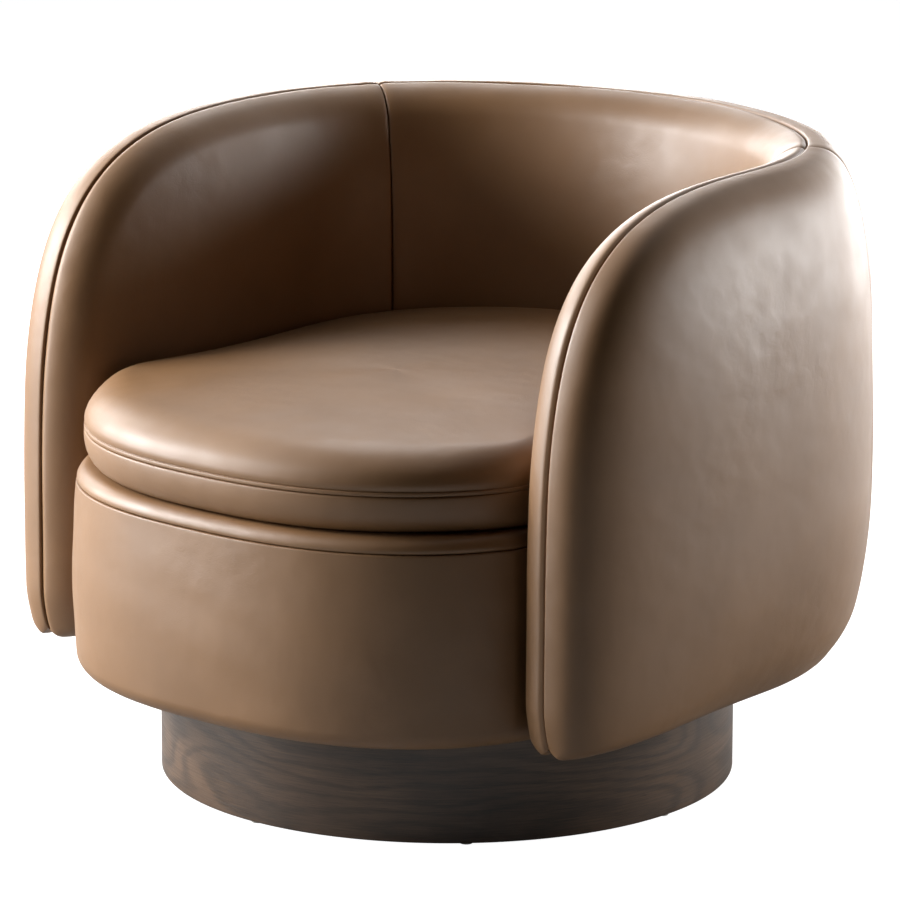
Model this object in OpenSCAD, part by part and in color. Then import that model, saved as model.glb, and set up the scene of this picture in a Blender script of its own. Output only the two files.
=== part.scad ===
// Tub swivel chair: a leather shell wraps a drum seat that turns on a round wooden plinth.
// Millimetres. The swivel axis is Z, the floor is z = 0, the chair faces -Y.

/* [Plinth] */
// Outside diameter of the plinth hoop
plinth_d = 616; // [580:1:640]
// Height of the plinth hoop's top edge above the floor
plinth_h = 118; // [106:1:140]
// Thickness of the bent plywood hoop
plinth_wall = 15; // [10:1:22]
// Height of the eased edge at the hoop's foot
plinth_ease = 2; // [1:0.5:5]
// Thickness of the plinth's top board
top_board_t = 18; // [15:1:24]
// Depth of the top board's face below the hoop's edge
top_board_recess = 16; // [12:1:20]
// Thickness of the two crossed rails under the top board
cross_rail_t = 22; // [16:1:30]
// Height of a floor glide
glide_h = 1.5; // [1:0.5:5]
// Diameter of a floor glide
glide_d = 13; // [8:1:14]

/* [Swivel bearing] */
// Distance from the plate bolts' centres to the edges of the bearing plates
plate_edge = 19; // [16:1:24]
// Thickness of the bearing plates
plate_t = 3; // [2.5:0.1:3.5]
// Height of the whole bearing, from the lower plate's underside to the upper plate's top
bearing_h = 25; // [24:0.5:30]
// Radius of the circle on which the balls run
race_r = 88; // [70:1:95]
// Diameter of a bearing ball
ball_d = 9.5; // [8:0.1:10.5]
// Number of bearing balls
ball_count = 20; // [12:1:28]
// Diameter of the centre rivet
rivet_d = 24; // [16:1:30]
// Spacing of the plate bolts, the same both ways
bolt_pitch = 212; // [200:1:218]
// Diameter of the plate bolts
bolt_d = 8; // [6:1:9]

/* [Seat box] */
// Thickness of the base board
base_board_t = 18; // [15:1:24]
// Height of the seat box, from the base board's underside to the top of its rails
box_h = 197; // [170:1:215]
// Thickness of the side and back rails
rail_t = 22; // [16:1:28]
// Thickness of the bent front hoop
front_hoop_t = 12; // [8:1:18]
// Thickness of the spring rails
spring_rail_t = 28; // [20:1:36]
// Distance of the front spring rail ahead of the swivel axis
spring_front = 262; // [230:1:280]
// Distance of the rear spring rail behind the swivel axis
spring_rear = 232; // [200:1:250]
// Number of sinuous springs
spring_count = 5; // [3:1:6]
// Spacing of the sinuous springs
spring_pitch = 84; // [70:1:84]
// Width of a sinuous spring
spring_w = 50; // [40:1:56]
// Thickness of the spring wire
wire_t = 3.8; // [3:0.1:4.4]
// Thickness of the felt over the springs
felt_t = 5.4; // [3:0.1:8]

/* [Drum] */
// Distance of the drum's sides inside the arm seams
drum_side = 26.5; // [20:0.5:34]
// Half depth of the drum at its seam
drum_d = 310; // [300:1:320]
// Distance of the drum's centre ahead of the swivel axis
drum_ahead = 82; // [76:1:90]
// Squareness of the drum's outline
drum_n = 2.5; // [2.2:0.05:2.9]
// How far the apron swells between its edges
apron_bulge = 5; // [0:0.5:8]
// Radius of the apron's lower edge
apron_round = 20; // [10:1:24]
// Thickness of the apron's leather and foam
apron_t = 26; // [25:0.5:30]
// Gap between the plinth and the drum above it
swing_gap = 5.5; // [4:0.5:8]
// Thickness of the deck pad that lies on the springs
deck_t = 16; // [12:0.5:22]

/* [Cushion] */
// Distance of the cushion's sides inside the arm seams
cushion_side = 31.5; // [25:0.5:38]
// Half depth of the cushion at its seam
cushion_d = 312; // [304:1:320]
// Squareness of the cushion's front
cushion_n = 2.4; // [2.2:0.05:2.8]
// Height of the lower band, from the deck to the seam
band_h = 41; // [30:1:50]
// How far the lower band tucks in where it meets the deck
band_tuck = 24; // [12:1:30]
// Height between the two lines of the seam
seam_gap = 5; // [3:0.5:8]
// Height of the cushion's rounded shoulder above the seam
shoulder_rise = 37; // [24:1:44]
// Height of the crown above the shoulder
crown = 14; // [8:1:24]
// How far the cushion's top rises towards the back
rear_rise = 11; // [6:1:20]

/* [Shell] */
// Height of the shell, from its lower edge to the seam along its top
shell_h = 551; // [520:1:580]
// Radius of the back in plan
back_r = 386; // [378:1:394]
// Distance of the back's seam behind the swivel axis
back_y = 377; // [370:1:384]
// Radius where the back turns into the arms
corner_r = 270; // [255:1:285]
// Distance of the arm seams inside the back's radius, at the swivel axis
arm_in = 38.5; // [34:0.5:44]
// Angle by which the arms open towards the front
arm_splay = 1.4; // [0.5:0.1:2]
// Distance of the arm fronts ahead of the swivel axis
arm_front = 261; // [255:1:268]
// Length of the curved shoulder along the arm
shoulder_l = 437; // [410:1:450]
// Height of the curved shoulder
shoulder_h = 499; // [480:1:510]
// Squareness of the shoulder
shoulder_n = 4; // [3.2:0.1:4.6]
// How far the arm's front edge leans back at its foot
toe_bow = 10; // [0:0.5:14]
// Distance along the back from its middle to the upright seams
back_half = 351; // [340:1:360]
// Thickness of the bent plywood shell panel
panel_t = 12; // [9:1:14]
// Distance of the panel's edge inside the seam
panel_inset = 16; // [14:1:24]
// Radius of the roll along the seam, on the inside
inner_roll = 33; // [28:1:40]
// Further thickness of the inside beyond the roll
inner_swell = 26; // [18:1:30]
// Distance from the seam over which the inside reaches its full thickness
inner_reach = 165; // [120:5:200]
// Full thickness of the outside on the back
outer_back = 72; // [60:1:76]
// Full thickness of the outside on the arms
outer_arm = 78; // [66:1:82]
// Distance from the seam over which the outside reaches its full thickness
outer_reach = 350; // [300:5:400]
// Squareness of the outside's swell
outer_n = 3; // [2.4:0.1:3.4]
// Height over which the outside fills out above its lower edge
outer_fill = 210; // [160:5:260]
// Share of the back's thickness at the start of that height
fill_back = 0.25; // [0.2:0.05:0.4]
// Share of the arm fronts' thickness at the start of that height
fill_front = 0.75; // [0.5:0.05:0.9]
// Height of the rounding at the lower edge of the back
foot_back = 75; // [50:1:90]
// Height of the rounding at the lower edge of the arm fronts
foot_front = 32; // [24:1:50]

/* [Hidden] */

$fn = 64;
// Clearance between soft or curved pieces that lie against each other
fit = 0.3;
// Clearance between the cushion or deck and the shell around them
cushion_fit = 1.2;
// Clearance between the apron and the seat box in front
apron_fit = 1;
// Overlap of a cutting shape past the face that it cuts
eps = 1;
// Running clearance of the rivet in the upper plate
run_fit = 0.05;
// Thickness of the leather edges where two covers meet in a seam
leather_t = 1.2;
// Height of the shell's lower edge above the underside of the seat box
shell_lift = 2;
// Height of the panel's foot above the shell's lower edge
panel_rise = 11;
// The lower edge of the covers cuts off the first part of their rounding, and is round itself
foot_cut = 10;
foot_round = 12;
// Height over which the inside of an arm's front fills out above its lower edge
inner_foot = 30;

leather = [0.55, 0.40, 0.30];
dark_wood = [0.20, 0.17, 0.15];
birch = [0.80, 0.68, 0.50];
zinc = [0.70, 0.71, 0.73];
black_steel = [0.18, 0.18, 0.19];

plate_w = bolt_pitch + 2 * plate_edge;
// Half widths of the shell between the arm seams, of the drum and of the cushion
arm_x = back_r - arm_in;
drum_w = arm_x - drum_side;
cushion_w = arm_x - cushion_side;

// Heights, from the floor up
bearing_z = plinth_h - top_board_recess;
box_z = bearing_z + bearing_h;
box_top = box_z + box_h;
felt_z = box_top + fit;
deck_z = felt_z + felt_t + fit;
cushion_z = deck_z + deck_t + fit;
seam_z = cushion_z + band_h;
drum_z = plinth_h + swing_gap;
shell_z = box_z + shell_lift;
shell_top = shell_z + shell_h;
shoulder_z = shell_top - shoulder_h;
shoulder_y = shoulder_l - arm_front;
panel_z = shell_z + panel_rise;
// The inside covers stop at the seat box, apart from their front ends, which go down to the foot
notch_ahead = 190;
notch_y = -notch_ahead;
notch_fit = 1.5;
inner_z = deck_z + fit;

// Plan of the seam: an arc round the back, a tighter arc at each corner, a straight line along each arm
back_c = [0, back_y - back_r];
arm_n = [cos(arm_splay), sin(arm_splay)];
arm_d = [-sin(arm_splay), cos(arm_splay)];
corner_0 = [arm_x, 0] - corner_r * arm_n - back_c;
corner_b = corner_0 * arm_d;
corner_k = -corner_b + sqrt(corner_b * corner_b - corner_0 * corner_0 + pow(back_r - corner_r, 2));
corner_c = back_c + corner_0 + corner_k * arm_d;
corner_a = atan2(corner_c[0] - back_c[0], corner_c[1] - back_c[1]);
arm_a = 90 - arm_splay;
arc_back = back_r * corner_a * PI / 180;
arc_end = arc_back + corner_r * (arm_a - corner_a) * PI / 180;
arm_start = corner_c + corner_r * arm_n;
arm_end = arc_end + (arm_start[1] + arm_front) / arm_d[1];
notch_l = arc_end + (arm_start[1] - notch_y) / arm_d[1];

// Direction that the shell faces at distance l along the seam, in degrees from +Y
function face_a(l) = let (a = abs(l), s = l < 0 ? -1 : 1)
    s * (a < arc_back ? a / back_r * 180 / PI
        : a < arc_end ? corner_a + (a - arc_back) / corner_r * 180 / PI
        : arm_a);
// Point at distance l along the seam from the middle of the back, offset outwards by t
function plan(l, t = 0) = let (a = abs(l), s = l < 0 ? -1 : 1, f = face_a(a), n = [sin(f), cos(f)],
    p = a < arc_back ? back_c + (back_r + t) * n
        : a < arc_end ? corner_c + (corner_r + t) * n
        : arm_start - (a - arc_end) * arm_d + t * n)
    [s * p[0], p[1]];

// Quarter of a rounded profile: 0 at u = 0, 1 at u = 1, squarer as n grows
function swell(u, n = 2) = pow(1 - pow(1 - min(1, max(0, u)), n), 1 / n);
function dome(u) = 1 - pow(1 - min(1, max(0, u)), 2);
function smooth(u) = let (c = min(1, max(0, u))) c * c * (3 - 2 * c);

// Share of a cover's thickness at height h above its lower edge
function foot_share(h, foot, n) = swell((h + foot_cut) / foot, n) * swell(h / foot_round);

// How far the arm's front edge leans back at height z
function bow(z) = toe_bow * pow(max(0, shoulder_z - z) / (shoulder_z - shell_z), 1.7);
// Height of the seam above a point y of the plan
function seam_top(y) = shell_top - shoulder_h
    + shoulder_h * pow(max(0, 1 - pow(max(0, shoulder_y - y) / shoulder_l, shoulder_n)), 1 / shoulder_n);
// Distance from a point of the seam's surface to the seam, measured across the seam
function seam_dist(y, z) = let (
    a = shoulder_l - bow(z),
    p = max(0, shoulder_y - y) / a,
    q = max(0, z - shoulder_z) / shoulder_h,
    g = pow(pow(p, shoulder_n) + pow(q, shoulder_n), 1 / shoulder_n))
    g < 0.02 ? shoulder_l
    : max(0, 1 - g) / norm([pow(p / g, shoulder_n - 1) / a, pow(q / g, shoulder_n - 1) / shoulder_h]);

// Thickness of the inside at distance s from the seam
function inner_t(s) = inner_roll * swell(s / inner_roll) + inner_swell * dome(s / inner_reach);
inner_full = inner_roll + inner_swell;
// Thickness of the outside at distance l along the seam, s from the seam and h above the lower edge
function outer_t(l, s, h) = let (
    arm = smooth((abs(l) - arc_back) / (arc_end - arc_back)),
    front = smooth((abs(l) - arc_end) / (arm_end - arc_end)),
    full = outer_back + (outer_arm - outer_back) * arm,
    fill = fill_back + (fill_front - fill_back) * front,
    foot = foot_back + (foot_front - foot_back) * front)
    full * swell(s / outer_reach, outer_n) * (fill + (1 - fill) * swell((h + foot_cut) / outer_fill))
    * foot_share(h, foot, 2.5);

// Stations along the seam, from the middle of the back to the front of an arm
back_steps = 8;
arm_steps = 10;
front_steps = 6;
rows = 12;
back_cols = [for (i = [0:back_steps]) back_half * i / back_steps];
arm_cols = [for (i = [0:arm_steps]) back_half + (notch_l - back_half) * i / arm_steps];
front_cols = [for (i = [0:front_steps]) notch_l + notch_fit
    + (arm_end - notch_l - notch_fit) * sin(90 * i / front_steps)];
half_cols = concat([for (i = [0:back_steps - 1]) back_cols[i]], arm_cols, front_cols);
last_col = len(half_cols) - 1;
all_cols = [for (i = [-last_col:last_col]) (i < 0 ? -1 : 1) * half_cols[abs(i)]];
rail_split = 6;

// A closed skin between two grids of points: plus lies on the side that columns x rows faces
module slab(plus, minus) {
    nu = len(plus) - 1;
    nv = len(plus[0]) - 1;
    row = nv + 1;
    base = (nu + 1) * row;
    polyhedron(
        points = concat([for (c = plus) for (p = c) p], [for (c = minus) for (p = c) p]),
        faces = concat(
            [for (i = [0:nu - 1]) for (j = [0:nv - 1]) let (a = i * row + j)
                each [[a, a + 1, a + row + 1], [a, a + row + 1, a + row]]],
            [for (i = [0:nu - 1]) for (j = [0:nv - 1]) let (a = base + i * row + j)
                each [[a, a + row, a + row + 1], [a, a + row + 1, a + 1]]],
            [for (j = [0:nv - 1]) let (p = j, m = base + j)
                each [[m, m + 1, p + 1], [m, p + 1, p]]],
            [for (j = [0:nv - 1]) let (p = nu * row + j, m = base + nu * row + j)
                each [[m, p + 1, m + 1], [m, p, p + 1]]],
            [for (i = [0:nu - 1]) let (p = i * row, m = base + i * row)
                each [[m, p, p + row], [m, p + row, m + row]]],
            [for (i = [0:nu - 1]) let (p = i * row + nv, m = base + i * row + nv)
                each [[m, p + row, p], [m, m + row, p + row]]]));
}

// A closed skin over a stack of rings, lowest first, each running anticlockwise seen from above
module stack(rings) {
    n = len(rings[0]);
    top = len(rings) - 1;
    mid = [for (k = [0, top]) [0, rings[k][0][1] / 2 + rings[k][floor(n / 2)][1] / 2, rings[k][0][2]]];
    polyhedron(
        points = concat([for (r = rings) for (p = r) p], mid),
        faces = concat(
            [for (k = [0:top - 1]) for (i = [0:n - 1]) let (j = (i + 1) % n, a = k * n)
                each [[a + i, a + n + j, a + j], [a + i, a + n + i, a + n + j]]],
            [for (i = [0:n - 1]) [(top + 1) * n, i, (i + 1) % n]],
            [for (i = [0:n - 1]) [(top + 1) * n + 1, top * n + (i + 1) % n, top * n + i]]));
}

// Height of row j of a cover whose column stands at distance l, from height foot up to the seam
function row_z(l, j, foot) = let (y = plan(l)[1])
    foot + (seam_top(y) - foot) * (1 - cos(180 * j / rows)) / 2;
// A station on the arm, drawn back where the arm's front edge leans
function lean(l, z) = l - bow(z) * max(0, l - notch_l) / (arm_end - notch_l);
// Distance that the panel holds the two covers apart, nothing at the seam and at the foot
function panel_side(s, h) = fit / 2 + (panel_t / 2 + fit / 2) * min(1, min(s, h) * 3 / panel_inset);

function inner_point(l, z, foot) = let (k = lean(l, z), y = plan(k)[1], s = seam_dist(y, z))
    concat(plan(k, -fit / 2 - leather_t - inner_t(s) * foot_share(z - shell_z, inner_foot, 2)), z);
// The edge that lies beside the notch stays clear of the panel down to the foot
function inner_back_point(l, z) = let (k = lean(l, z), y = plan(k)[1],
    h = l < notch_l + 2 * notch_fit ? panel_rise : z - shell_z)
    concat(plan(k, -panel_side(seam_dist(y, z), h)), z);
function outer_point(l, z) = let (k = lean(l, z), y = plan(k)[1])
    concat(plan(k, fit / 2 + leather_t + outer_t(l, seam_dist(y, z), z - shell_z)), z);
function outer_back_point(l, z) = let (k = lean(l, z), y = plan(k)[1])
    concat(plan(k, panel_side(seam_dist(y, z), z - shell_z)), z);

// A cover over the inside of the shell, along the given stations and with a foot height for each
module inside_cover(cols, feet) {
    color(leather) slab(
        [for (i = [0:len(cols) - 1]) [for (j = [0:rows]) let (z = row_z(cols[i], j, feet[i]))
            inner_point(cols[i], z)]],
        [for (i = [0:len(cols) - 1]) [for (j = [0:rows]) let (z = row_z(cols[i], j, feet[i]))
            inner_back_point(cols[i], z)]]);
}

// A cover over the outside of the shell
module outside_cover(cols) {
    color(leather) slab(
        [for (l = cols) [for (j = [0:rows]) let (z = row_z(l, j, shell_z)) outer_back_point(l, z)]],
        [for (l = cols) [for (j = [0:rows]) let (z = row_z(l, j, shell_z)) outer_point(l, z)]]);
}

// The covers meet at the upright seams with a small gap
arm_cover_cols = concat([back_half + fit], [for (i = [1:arm_steps]) arm_cols[i]], front_cols);
arm_cover_feet = concat([for (i = [0:arm_steps]) inner_z], [for (i = [0:front_steps]) shell_z]);
back_cover_cols = [for (i = [-back_steps:back_steps]) back_half * i / back_steps];
back_cover_feet = [for (i = [-back_steps:back_steps]) inner_z];

module inside_back() { inside_cover(back_cover_cols, back_cover_feet); }
module inside_arm_left() { inside_cover(arm_cover_cols, arm_cover_feet); }
module inside_arm_right() { mirror([1, 0, 0]) inside_arm_left(); }
module outside_back() { outside_cover(back_cover_cols); }
module outside_arm_left() { outside_cover(arm_cover_cols); }
module outside_arm_right() { mirror([1, 0, 0]) outside_arm_left(); }

// Side view of the seam, drawn in by d, as an outline in Y and Z
module side_view(d) {
    steps = 18;
    bow_steps = 4;
    front = [for (i = [0:steps]) let (a = 90 * i / steps)
        [shoulder_y - (shoulder_l - d) * pow(cos(a), 2 / shoulder_n),
         shoulder_z + (shoulder_h - d) * pow(sin(a), 2 / shoulder_n)]];
    foot = [for (i = [0:bow_steps - 1]) let (z = panel_z + (shoulder_z - panel_z) * i / bow_steps)
        [d + bow(z) - arm_front, z]];
    polygon(concat([[back_y + panel_t, shell_top - d], [back_y + panel_t, panel_z]], foot, front));
}

// A strip of the plan between two offsets, through the given stations
module plan_strip(cols, t0, t1) {
    n = len(cols) - 1;
    polygon(concat([for (l = cols) plan(l, t0)], [for (i = [0:n]) plan(cols[n - i], t1)]));
}

// Places a child at distance l along the seam, at height z, with +Y facing out of the shell
module at_shell(l, z) {
    p = plan(l);
    translate([p[0], p[1], z]) rotate([0, 0, -face_a(l)]) children();
}

// Bolts through the shell panel and the seat box's rails, at fixed shares of the rails' length
bolt_z = box_z + box_h * 0.55;
shell_bolt_d = 8;
shell_bolt_at = [for (s = [-1, 1]) for (k = [0.16, 0.42, 0.66, 0.9]) s * k * notch_l];
bolt_head_d = 18;
bolt_head_t = 4.5;
inner_face = panel_t / 2 + fit;
rail_face = inner_face + rail_t;
nut_t = 6;
nut_w = 15;
bolt_tail = 3;
// Depth of the flat cut for a bolt's head or nut in a bent piece
spot_t = 1.5;

module shell_bolt_holes() {
    for (l = shell_bolt_at) at_shell(l, bolt_z) rotate([90, 0, 0]) {
        translate([0, 0, -panel_t]) cylinder(d = shell_bolt_d + 2 * fit, h = rail_face + 2 * panel_t);
        translate([0, 0, -panel_t]) cylinder(d = bolt_head_d + 2 * fit, h = panel_t / 2 + bolt_head_t);
        translate([0, 0, rail_face - spot_t]) cylinder(d = nut_w + spot_t, h = panel_t);
    }
}

module shell_panel() {
    color(birch) difference() {
        intersection() {
            translate([0, 0, panel_z]) linear_extrude(shell_top - panel_z)
                plan_strip(all_cols, -panel_t / 2, panel_t / 2);
            rotate([90, 0, 90]) translate([0, 0, -2 * arm_x]) linear_extrude(4 * arm_x)
                side_view(panel_inset);
        }
        shell_bolt_holes();
    }
}

module shell_bolts() {
    color(zinc) for (l = shell_bolt_at) at_shell(l, bolt_z) rotate([90, 0, 0]) {
        translate([0, 0, -panel_t / 2 + spot_t]) cylinder(d = bolt_head_d, h = bolt_head_t - spot_t);
        translate([0, 0, -panel_t / 2 + bolt_head_t - eps])
            cylinder(d = shell_bolt_d, h = panel_t / 2 - bolt_head_t + rail_face + nut_t + bolt_tail);
    }
}

module shell_bolt_nuts() {
    color(zinc) for (l = shell_bolt_at) at_shell(l, bolt_z) rotate([90, 0, 0])
        translate([0, 0, rail_face - spot_t + fit / 3]) difference() {
            cylinder(d = nut_w, h = nut_t, $fn = 6);
            translate([0, 0, -eps]) cylinder(d = shell_bolt_d + 2 * run_fit, h = nut_t + 2 * eps);
        }
}

// Radius of a squared round outline at angle a from the front, with half sizes w and d
function round_rho(a, w, d, n) = pow(pow(abs(sin(a)) / w, n) + pow(abs(cos(a)) / d, n), -1 / n);
// Distance from the drum's centre to a circle, along direction u
function ray_circle(q, u, c, r) = let (b = u * (q - c)) -b + sqrt(b * b - (q - c) * (q - c) + r * r);
// Distance from the drum's centre to the plan of the seam drawn in by t, at angle a from the front
function plan_rho(a, t) = let (
    q = [0, -drum_ahead],
    u = [abs(sin(a)), -cos(a)],
    side = (arm_x * arm_n[0] - t - q * arm_n) / max(0.02, u * arm_n),
    on_arm = cos(a) > 0 || (q + side * u - corner_c) * arm_d < 0,
    turn = ray_circle(q, u, corner_c, corner_r - t),
    p = q + turn * u - corner_c)
    on_arm ? side : atan2(p[0], p[1]) > corner_a ? turn : ray_circle(q, u, back_c, back_r - t);
// Distance from the drum's centre to the inside of the shell, less clearance c
function inside_rho(a, c) = let (
    y1 = -drum_ahead - plan_rho(a, inner_full) * cos(a),
    r1 = plan_rho(a, inner_t(max(0, y1 + arm_front)) + leather_t + c),
    y2 = -drum_ahead - r1 * cos(a))
    plan_rho(a, inner_t(max(0, y2 + arm_front)) + leather_t + c);
// The outline of a seat piece: its own rounded front, held between the arms and the back
function seat_rho(a, w, d, n, c) = let (k = 40)
    let (f = abs(a) < 90 ? round_rho(a, w, d, n) : w / max(0.02, abs(sin(a))), s = inside_rho(a, c))
    pow(pow(f, -k) + pow(s, -k), -1 / k);
function seat_point(a, rho, z) = [rho * sin(a), -drum_ahead - rho * cos(a), z];
// Angles round a seat piece, closer together where its outline bends
seat_steps = 52;
seat_angles = [for (i = [0:seat_steps - 1]) 360 * i / seat_steps - 180];
function seat_ring(w, d, n, inset, z, share = 1) = [for (a = seat_angles)
    seat_point(a, share * seat_rho(a, w - inset, d - inset, n, cushion_fit + inset), z)];

// The loose cushion: tucked-in lower band, double seam in a shallow groove, rounded shoulder, crown
seam_up = seam_z + seam_gap;
top_z = seam_up + shoulder_rise;
seam_in = 2;
seam_groove = 2.5;
shoulder_in = 28;
band_rows = [for (a = [0:20:80]) [band_tuck * (1 - sin(a)), cushion_z + band_h * (1 - cos(a)), 1]];
seam_rows = [[seam_in, seam_z, 1], [seam_in + seam_groove, seam_z + seam_gap / 2, 1],
    [seam_in, seam_up, 1]];
shoulder_rows = [for (i = [1:4]) let (a = 90 * i / 4)
    [seam_in + (shoulder_in - seam_in) * (1 - cos(a)), seam_up + shoulder_rise * sin(a), 1]];
crown_rows = [for (a = [20:20:80]) [shoulder_in, top_z + crown * dome(sin(a)), 1 - sin(a)]];
cushion_rows = concat(band_rows, seam_rows, shoulder_rows, crown_rows);
// The top rises from here, over this distance, to its full height at the back
rise_start = 20;
rise_run = 190;
function risen(p) = [p[0], p[1], p[2] + rear_rise * smooth((p[1] - rise_start) / rise_run)
    * min(1, max(0, p[2] - seam_up) / shoulder_rise)];
module seat_cushion() {
    color(leather) stack([for (r = cushion_rows)
        [for (p = seat_ring(cushion_w, cushion_d, cushion_n, r[0], r[1], r[2])) risen(p)]]);
}

// The pad that lies on the springs; its soft front edge shows as a roll above the drum's seam
deck_roll = 16;
deck_rows = [for (i = [0:4]) let (a = 90 * i / 4)
    [deck_roll * (1 - cos(a)), deck_z + deck_t * sin(a)]];
module deck_pad() {
    color(leather) stack([for (r = deck_rows) seat_ring(drum_w, drum_d, drum_n, r[0], r[1])]);
}

// The upholstered front of the drum, between the seam and its rounded lower edge
apron_top = felt_z + felt_t;
apron_cols = 30;
apron_rows = 9;
// The drum's outline drawn in by inset: its point at angle a from the front
function drum_point(a, inset) = let (
    p = seat_point(a, round_rho(a, drum_w - inset, drum_d - inset, drum_n), 0)) [p[0], p[1]];
// Angle at which that outline reaches y
function drum_angle(y, inset) = let (dy = y + drum_ahead)
    atan2((drum_w - inset) * pow(1 - pow(abs(dy) / (drum_d - inset), drum_n), 1 / drum_n), -dy);
apron_end = drum_angle(notch_y - notch_fit, apron_t - apron_fit);
function apron_inset(z) = apron_round * (1 - swell((z - drum_z) / apron_round))
    - apron_bulge * sin(180 * (z - drum_z) / (apron_top - drum_z));
module drum_apron() {
    angles = [for (i = [0:apron_cols]) apron_end * (2 * i / apron_cols - 1)];
    heights = [for (j = [0:apron_rows]) drum_z + (apron_top - drum_z) * (1 - cos(90 * j / apron_rows))];
    outer = [for (a = angles) [for (z = heights) let (e = apron_inset(z))
        seat_point(a, seat_rho(a, drum_w - e, drum_d - e, drum_n, cushion_fit), z)]];
    inner = [for (a = angles) [for (z = heights) concat(drum_point(a, apron_t - apron_fit), z)]];
    color(leather) slab(inner, outer);
}

// The drum's outline ahead of the notch, drawn in by inset, from left to right
front_cuts = 44;
function front_points(inset) = let (last = drum_angle(notch_y, inset))
    [for (i = [0:front_cuts]) drum_point(last * (1 - 2 * i / front_cuts), inset)];
// The inside of the shell behind the notch, drawn in by t, from right to left
function back_points(t, cut) = [for (l = all_cols) if (abs(l) < notch_l + notch_fit / 2)
    plan(l * (1 - cut / notch_l), -t)];
module front_outline(inset) { polygon(front_points(inset)); }
module box_outline(inset = 0) {
    polygon(concat(front_points(apron_t + inset), back_points(inner_face + inset, inset)));
}

module on_bolt_square(pitch) {
    for (x = [-1, 1]) for (y = [-1, 1]) translate([x * pitch / 2, y * pitch / 2]) children();
}

tee_r = bolt_d / 2 + 1.2;
// Hole in a board for the rivet's heads
rivet_head = 8;
rivet_hole = rivet_d + 3 * rivet_head;
module seat_base_board() {
    color(birch) translate([0, 0, box_z]) difference() {
        linear_extrude(base_board_t) box_outline();
        translate([0, 0, -eps]) cylinder(d = rivet_hole, h = base_board_t + 2 * eps);
        on_bolt_square(bolt_pitch) translate([0, 0, -eps])
            cylinder(r = tee_r + fit / 2, h = base_board_t + 2 * eps);
    }
}

wall_z = box_z + base_board_t;
module front_hoop() {
    color(birch) translate([0, 0, wall_z]) linear_extrude(box_top - wall_z) difference() {
        front_outline(apron_t);
        front_outline(apron_t + front_hoop_t);
    }
}

rail_cols = [for (l = half_cols) if (l < notch_l + notch_fit / 2) l];
module rail(cols) {
    color(birch) translate([0, 0, wall_z]) difference() {
        linear_extrude(box_top - wall_z) plan_strip(cols, -inner_face, -rail_face);
        translate([0, 0, -wall_z]) shell_bolt_holes();
    }
}
module side_rail_left() { rail([for (i = [rail_split:len(rail_cols) - 1]) rail_cols[i]]); }
module side_rail_right() { mirror([1, 0, 0]) side_rail_left(); }
module back_rail() {
    rail([for (i = [-rail_split:rail_split]) (i < 0 ? -1 : 1) * rail_cols[abs(i)]]);
}

// Blocks that tie the ends of the front hoop to the side rails
corner_block_l = 46;
corner_block_lap = 14;
module corner_blocks() {
    x = drum_point(drum_angle(notch_y, apron_t), apron_t + front_hoop_t)[0] - corner_block_lap;
    color(birch) for (s = [0, 1]) mirror([s, 0, 0]) translate([0, 0, wall_z])
        linear_extrude(box_top - wall_z) intersection() {
            translate([x, notch_y]) square([arm_x - x, corner_block_l]);
            polygon(back_points(rail_face, 0));
        }
}

// Two rails carry the springs; each is cut to the width of the seat box where it lies
clip_floor = 1.2;
clip_r = 4;
clip_foot = 11;
clip_bore = wire_t / sqrt(2) + run_fit;
clip_mouth = wire_t / 2;
wire_z = box_top - clip_r - fit;
spring_rail_top = wire_z - clip_r - fit / 3;
spring_rail_h = 64;
module spring_rail(y) {
    color(birch) translate([0, 0, spring_rail_top - spring_rail_h]) linear_extrude(spring_rail_h)
        intersection() {
            translate([-2 * arm_x, y - spring_rail_t / 2]) square([4 * arm_x, spring_rail_t]);
            polygon(concat(front_points(apron_t + front_hoop_t), back_points(rail_face, 0)));
        }
}
module front_spring_rail() { spring_rail(-spring_front); }
module rear_spring_rail() { spring_rail(spring_rear); }

// A sinuous spring lies flat: straight bars across, joined by half turns at alternate ends
spring_x = [for (i = [0:spring_count - 1]) (i - (spring_count - 1) / 2) * spring_pitch];
// Distance between every second bar, before the bars are spread evenly
bar_pitch = 52;
bars = 2 * floor((spring_front + spring_rear) / bar_pitch) + 1;
bar_step = (spring_front + spring_rear) / (bars - 1);
turn_r = bar_step / 2;
bar_half = spring_w / 2 - turn_r;
turn_steps = 6;
// Centre line of half turn k, offset by t to the right of its direction
function half_turn(k, t) = let (s = k % 2 == 0 ? 1 : -1)
    [for (i = [0:turn_steps]) let (a = 180 * i / turn_steps - 90)
        [s * (bar_half + (turn_r + s * t) * cos(a)), bar_step * (k + 0.5) + (turn_r + s * t) * sin(a)]];
module spring_path(w) {
    right = concat([[-bar_half, -w / 2]], [for (k = [0:bars - 2]) each half_turn(k, w / 2)],
        [[bar_half, bar_step * (bars - 1) - w / 2]]);
    left = concat([[-bar_half, w / 2]], [for (k = [0:bars - 2]) each half_turn(k, -w / 2)],
        [[bar_half, bar_step * (bars - 1) + w / 2]]);
    n = len(left) - 1;
    polygon(concat(right, [for (i = [0:n]) left[n - i]]));
}
module sinuous_springs() {
    color(black_steel) for (x = spring_x) translate([x, -spring_front, wire_z - wire_t / 2])
        linear_extrude(wire_t) spring_path(wire_t);
}

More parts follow.
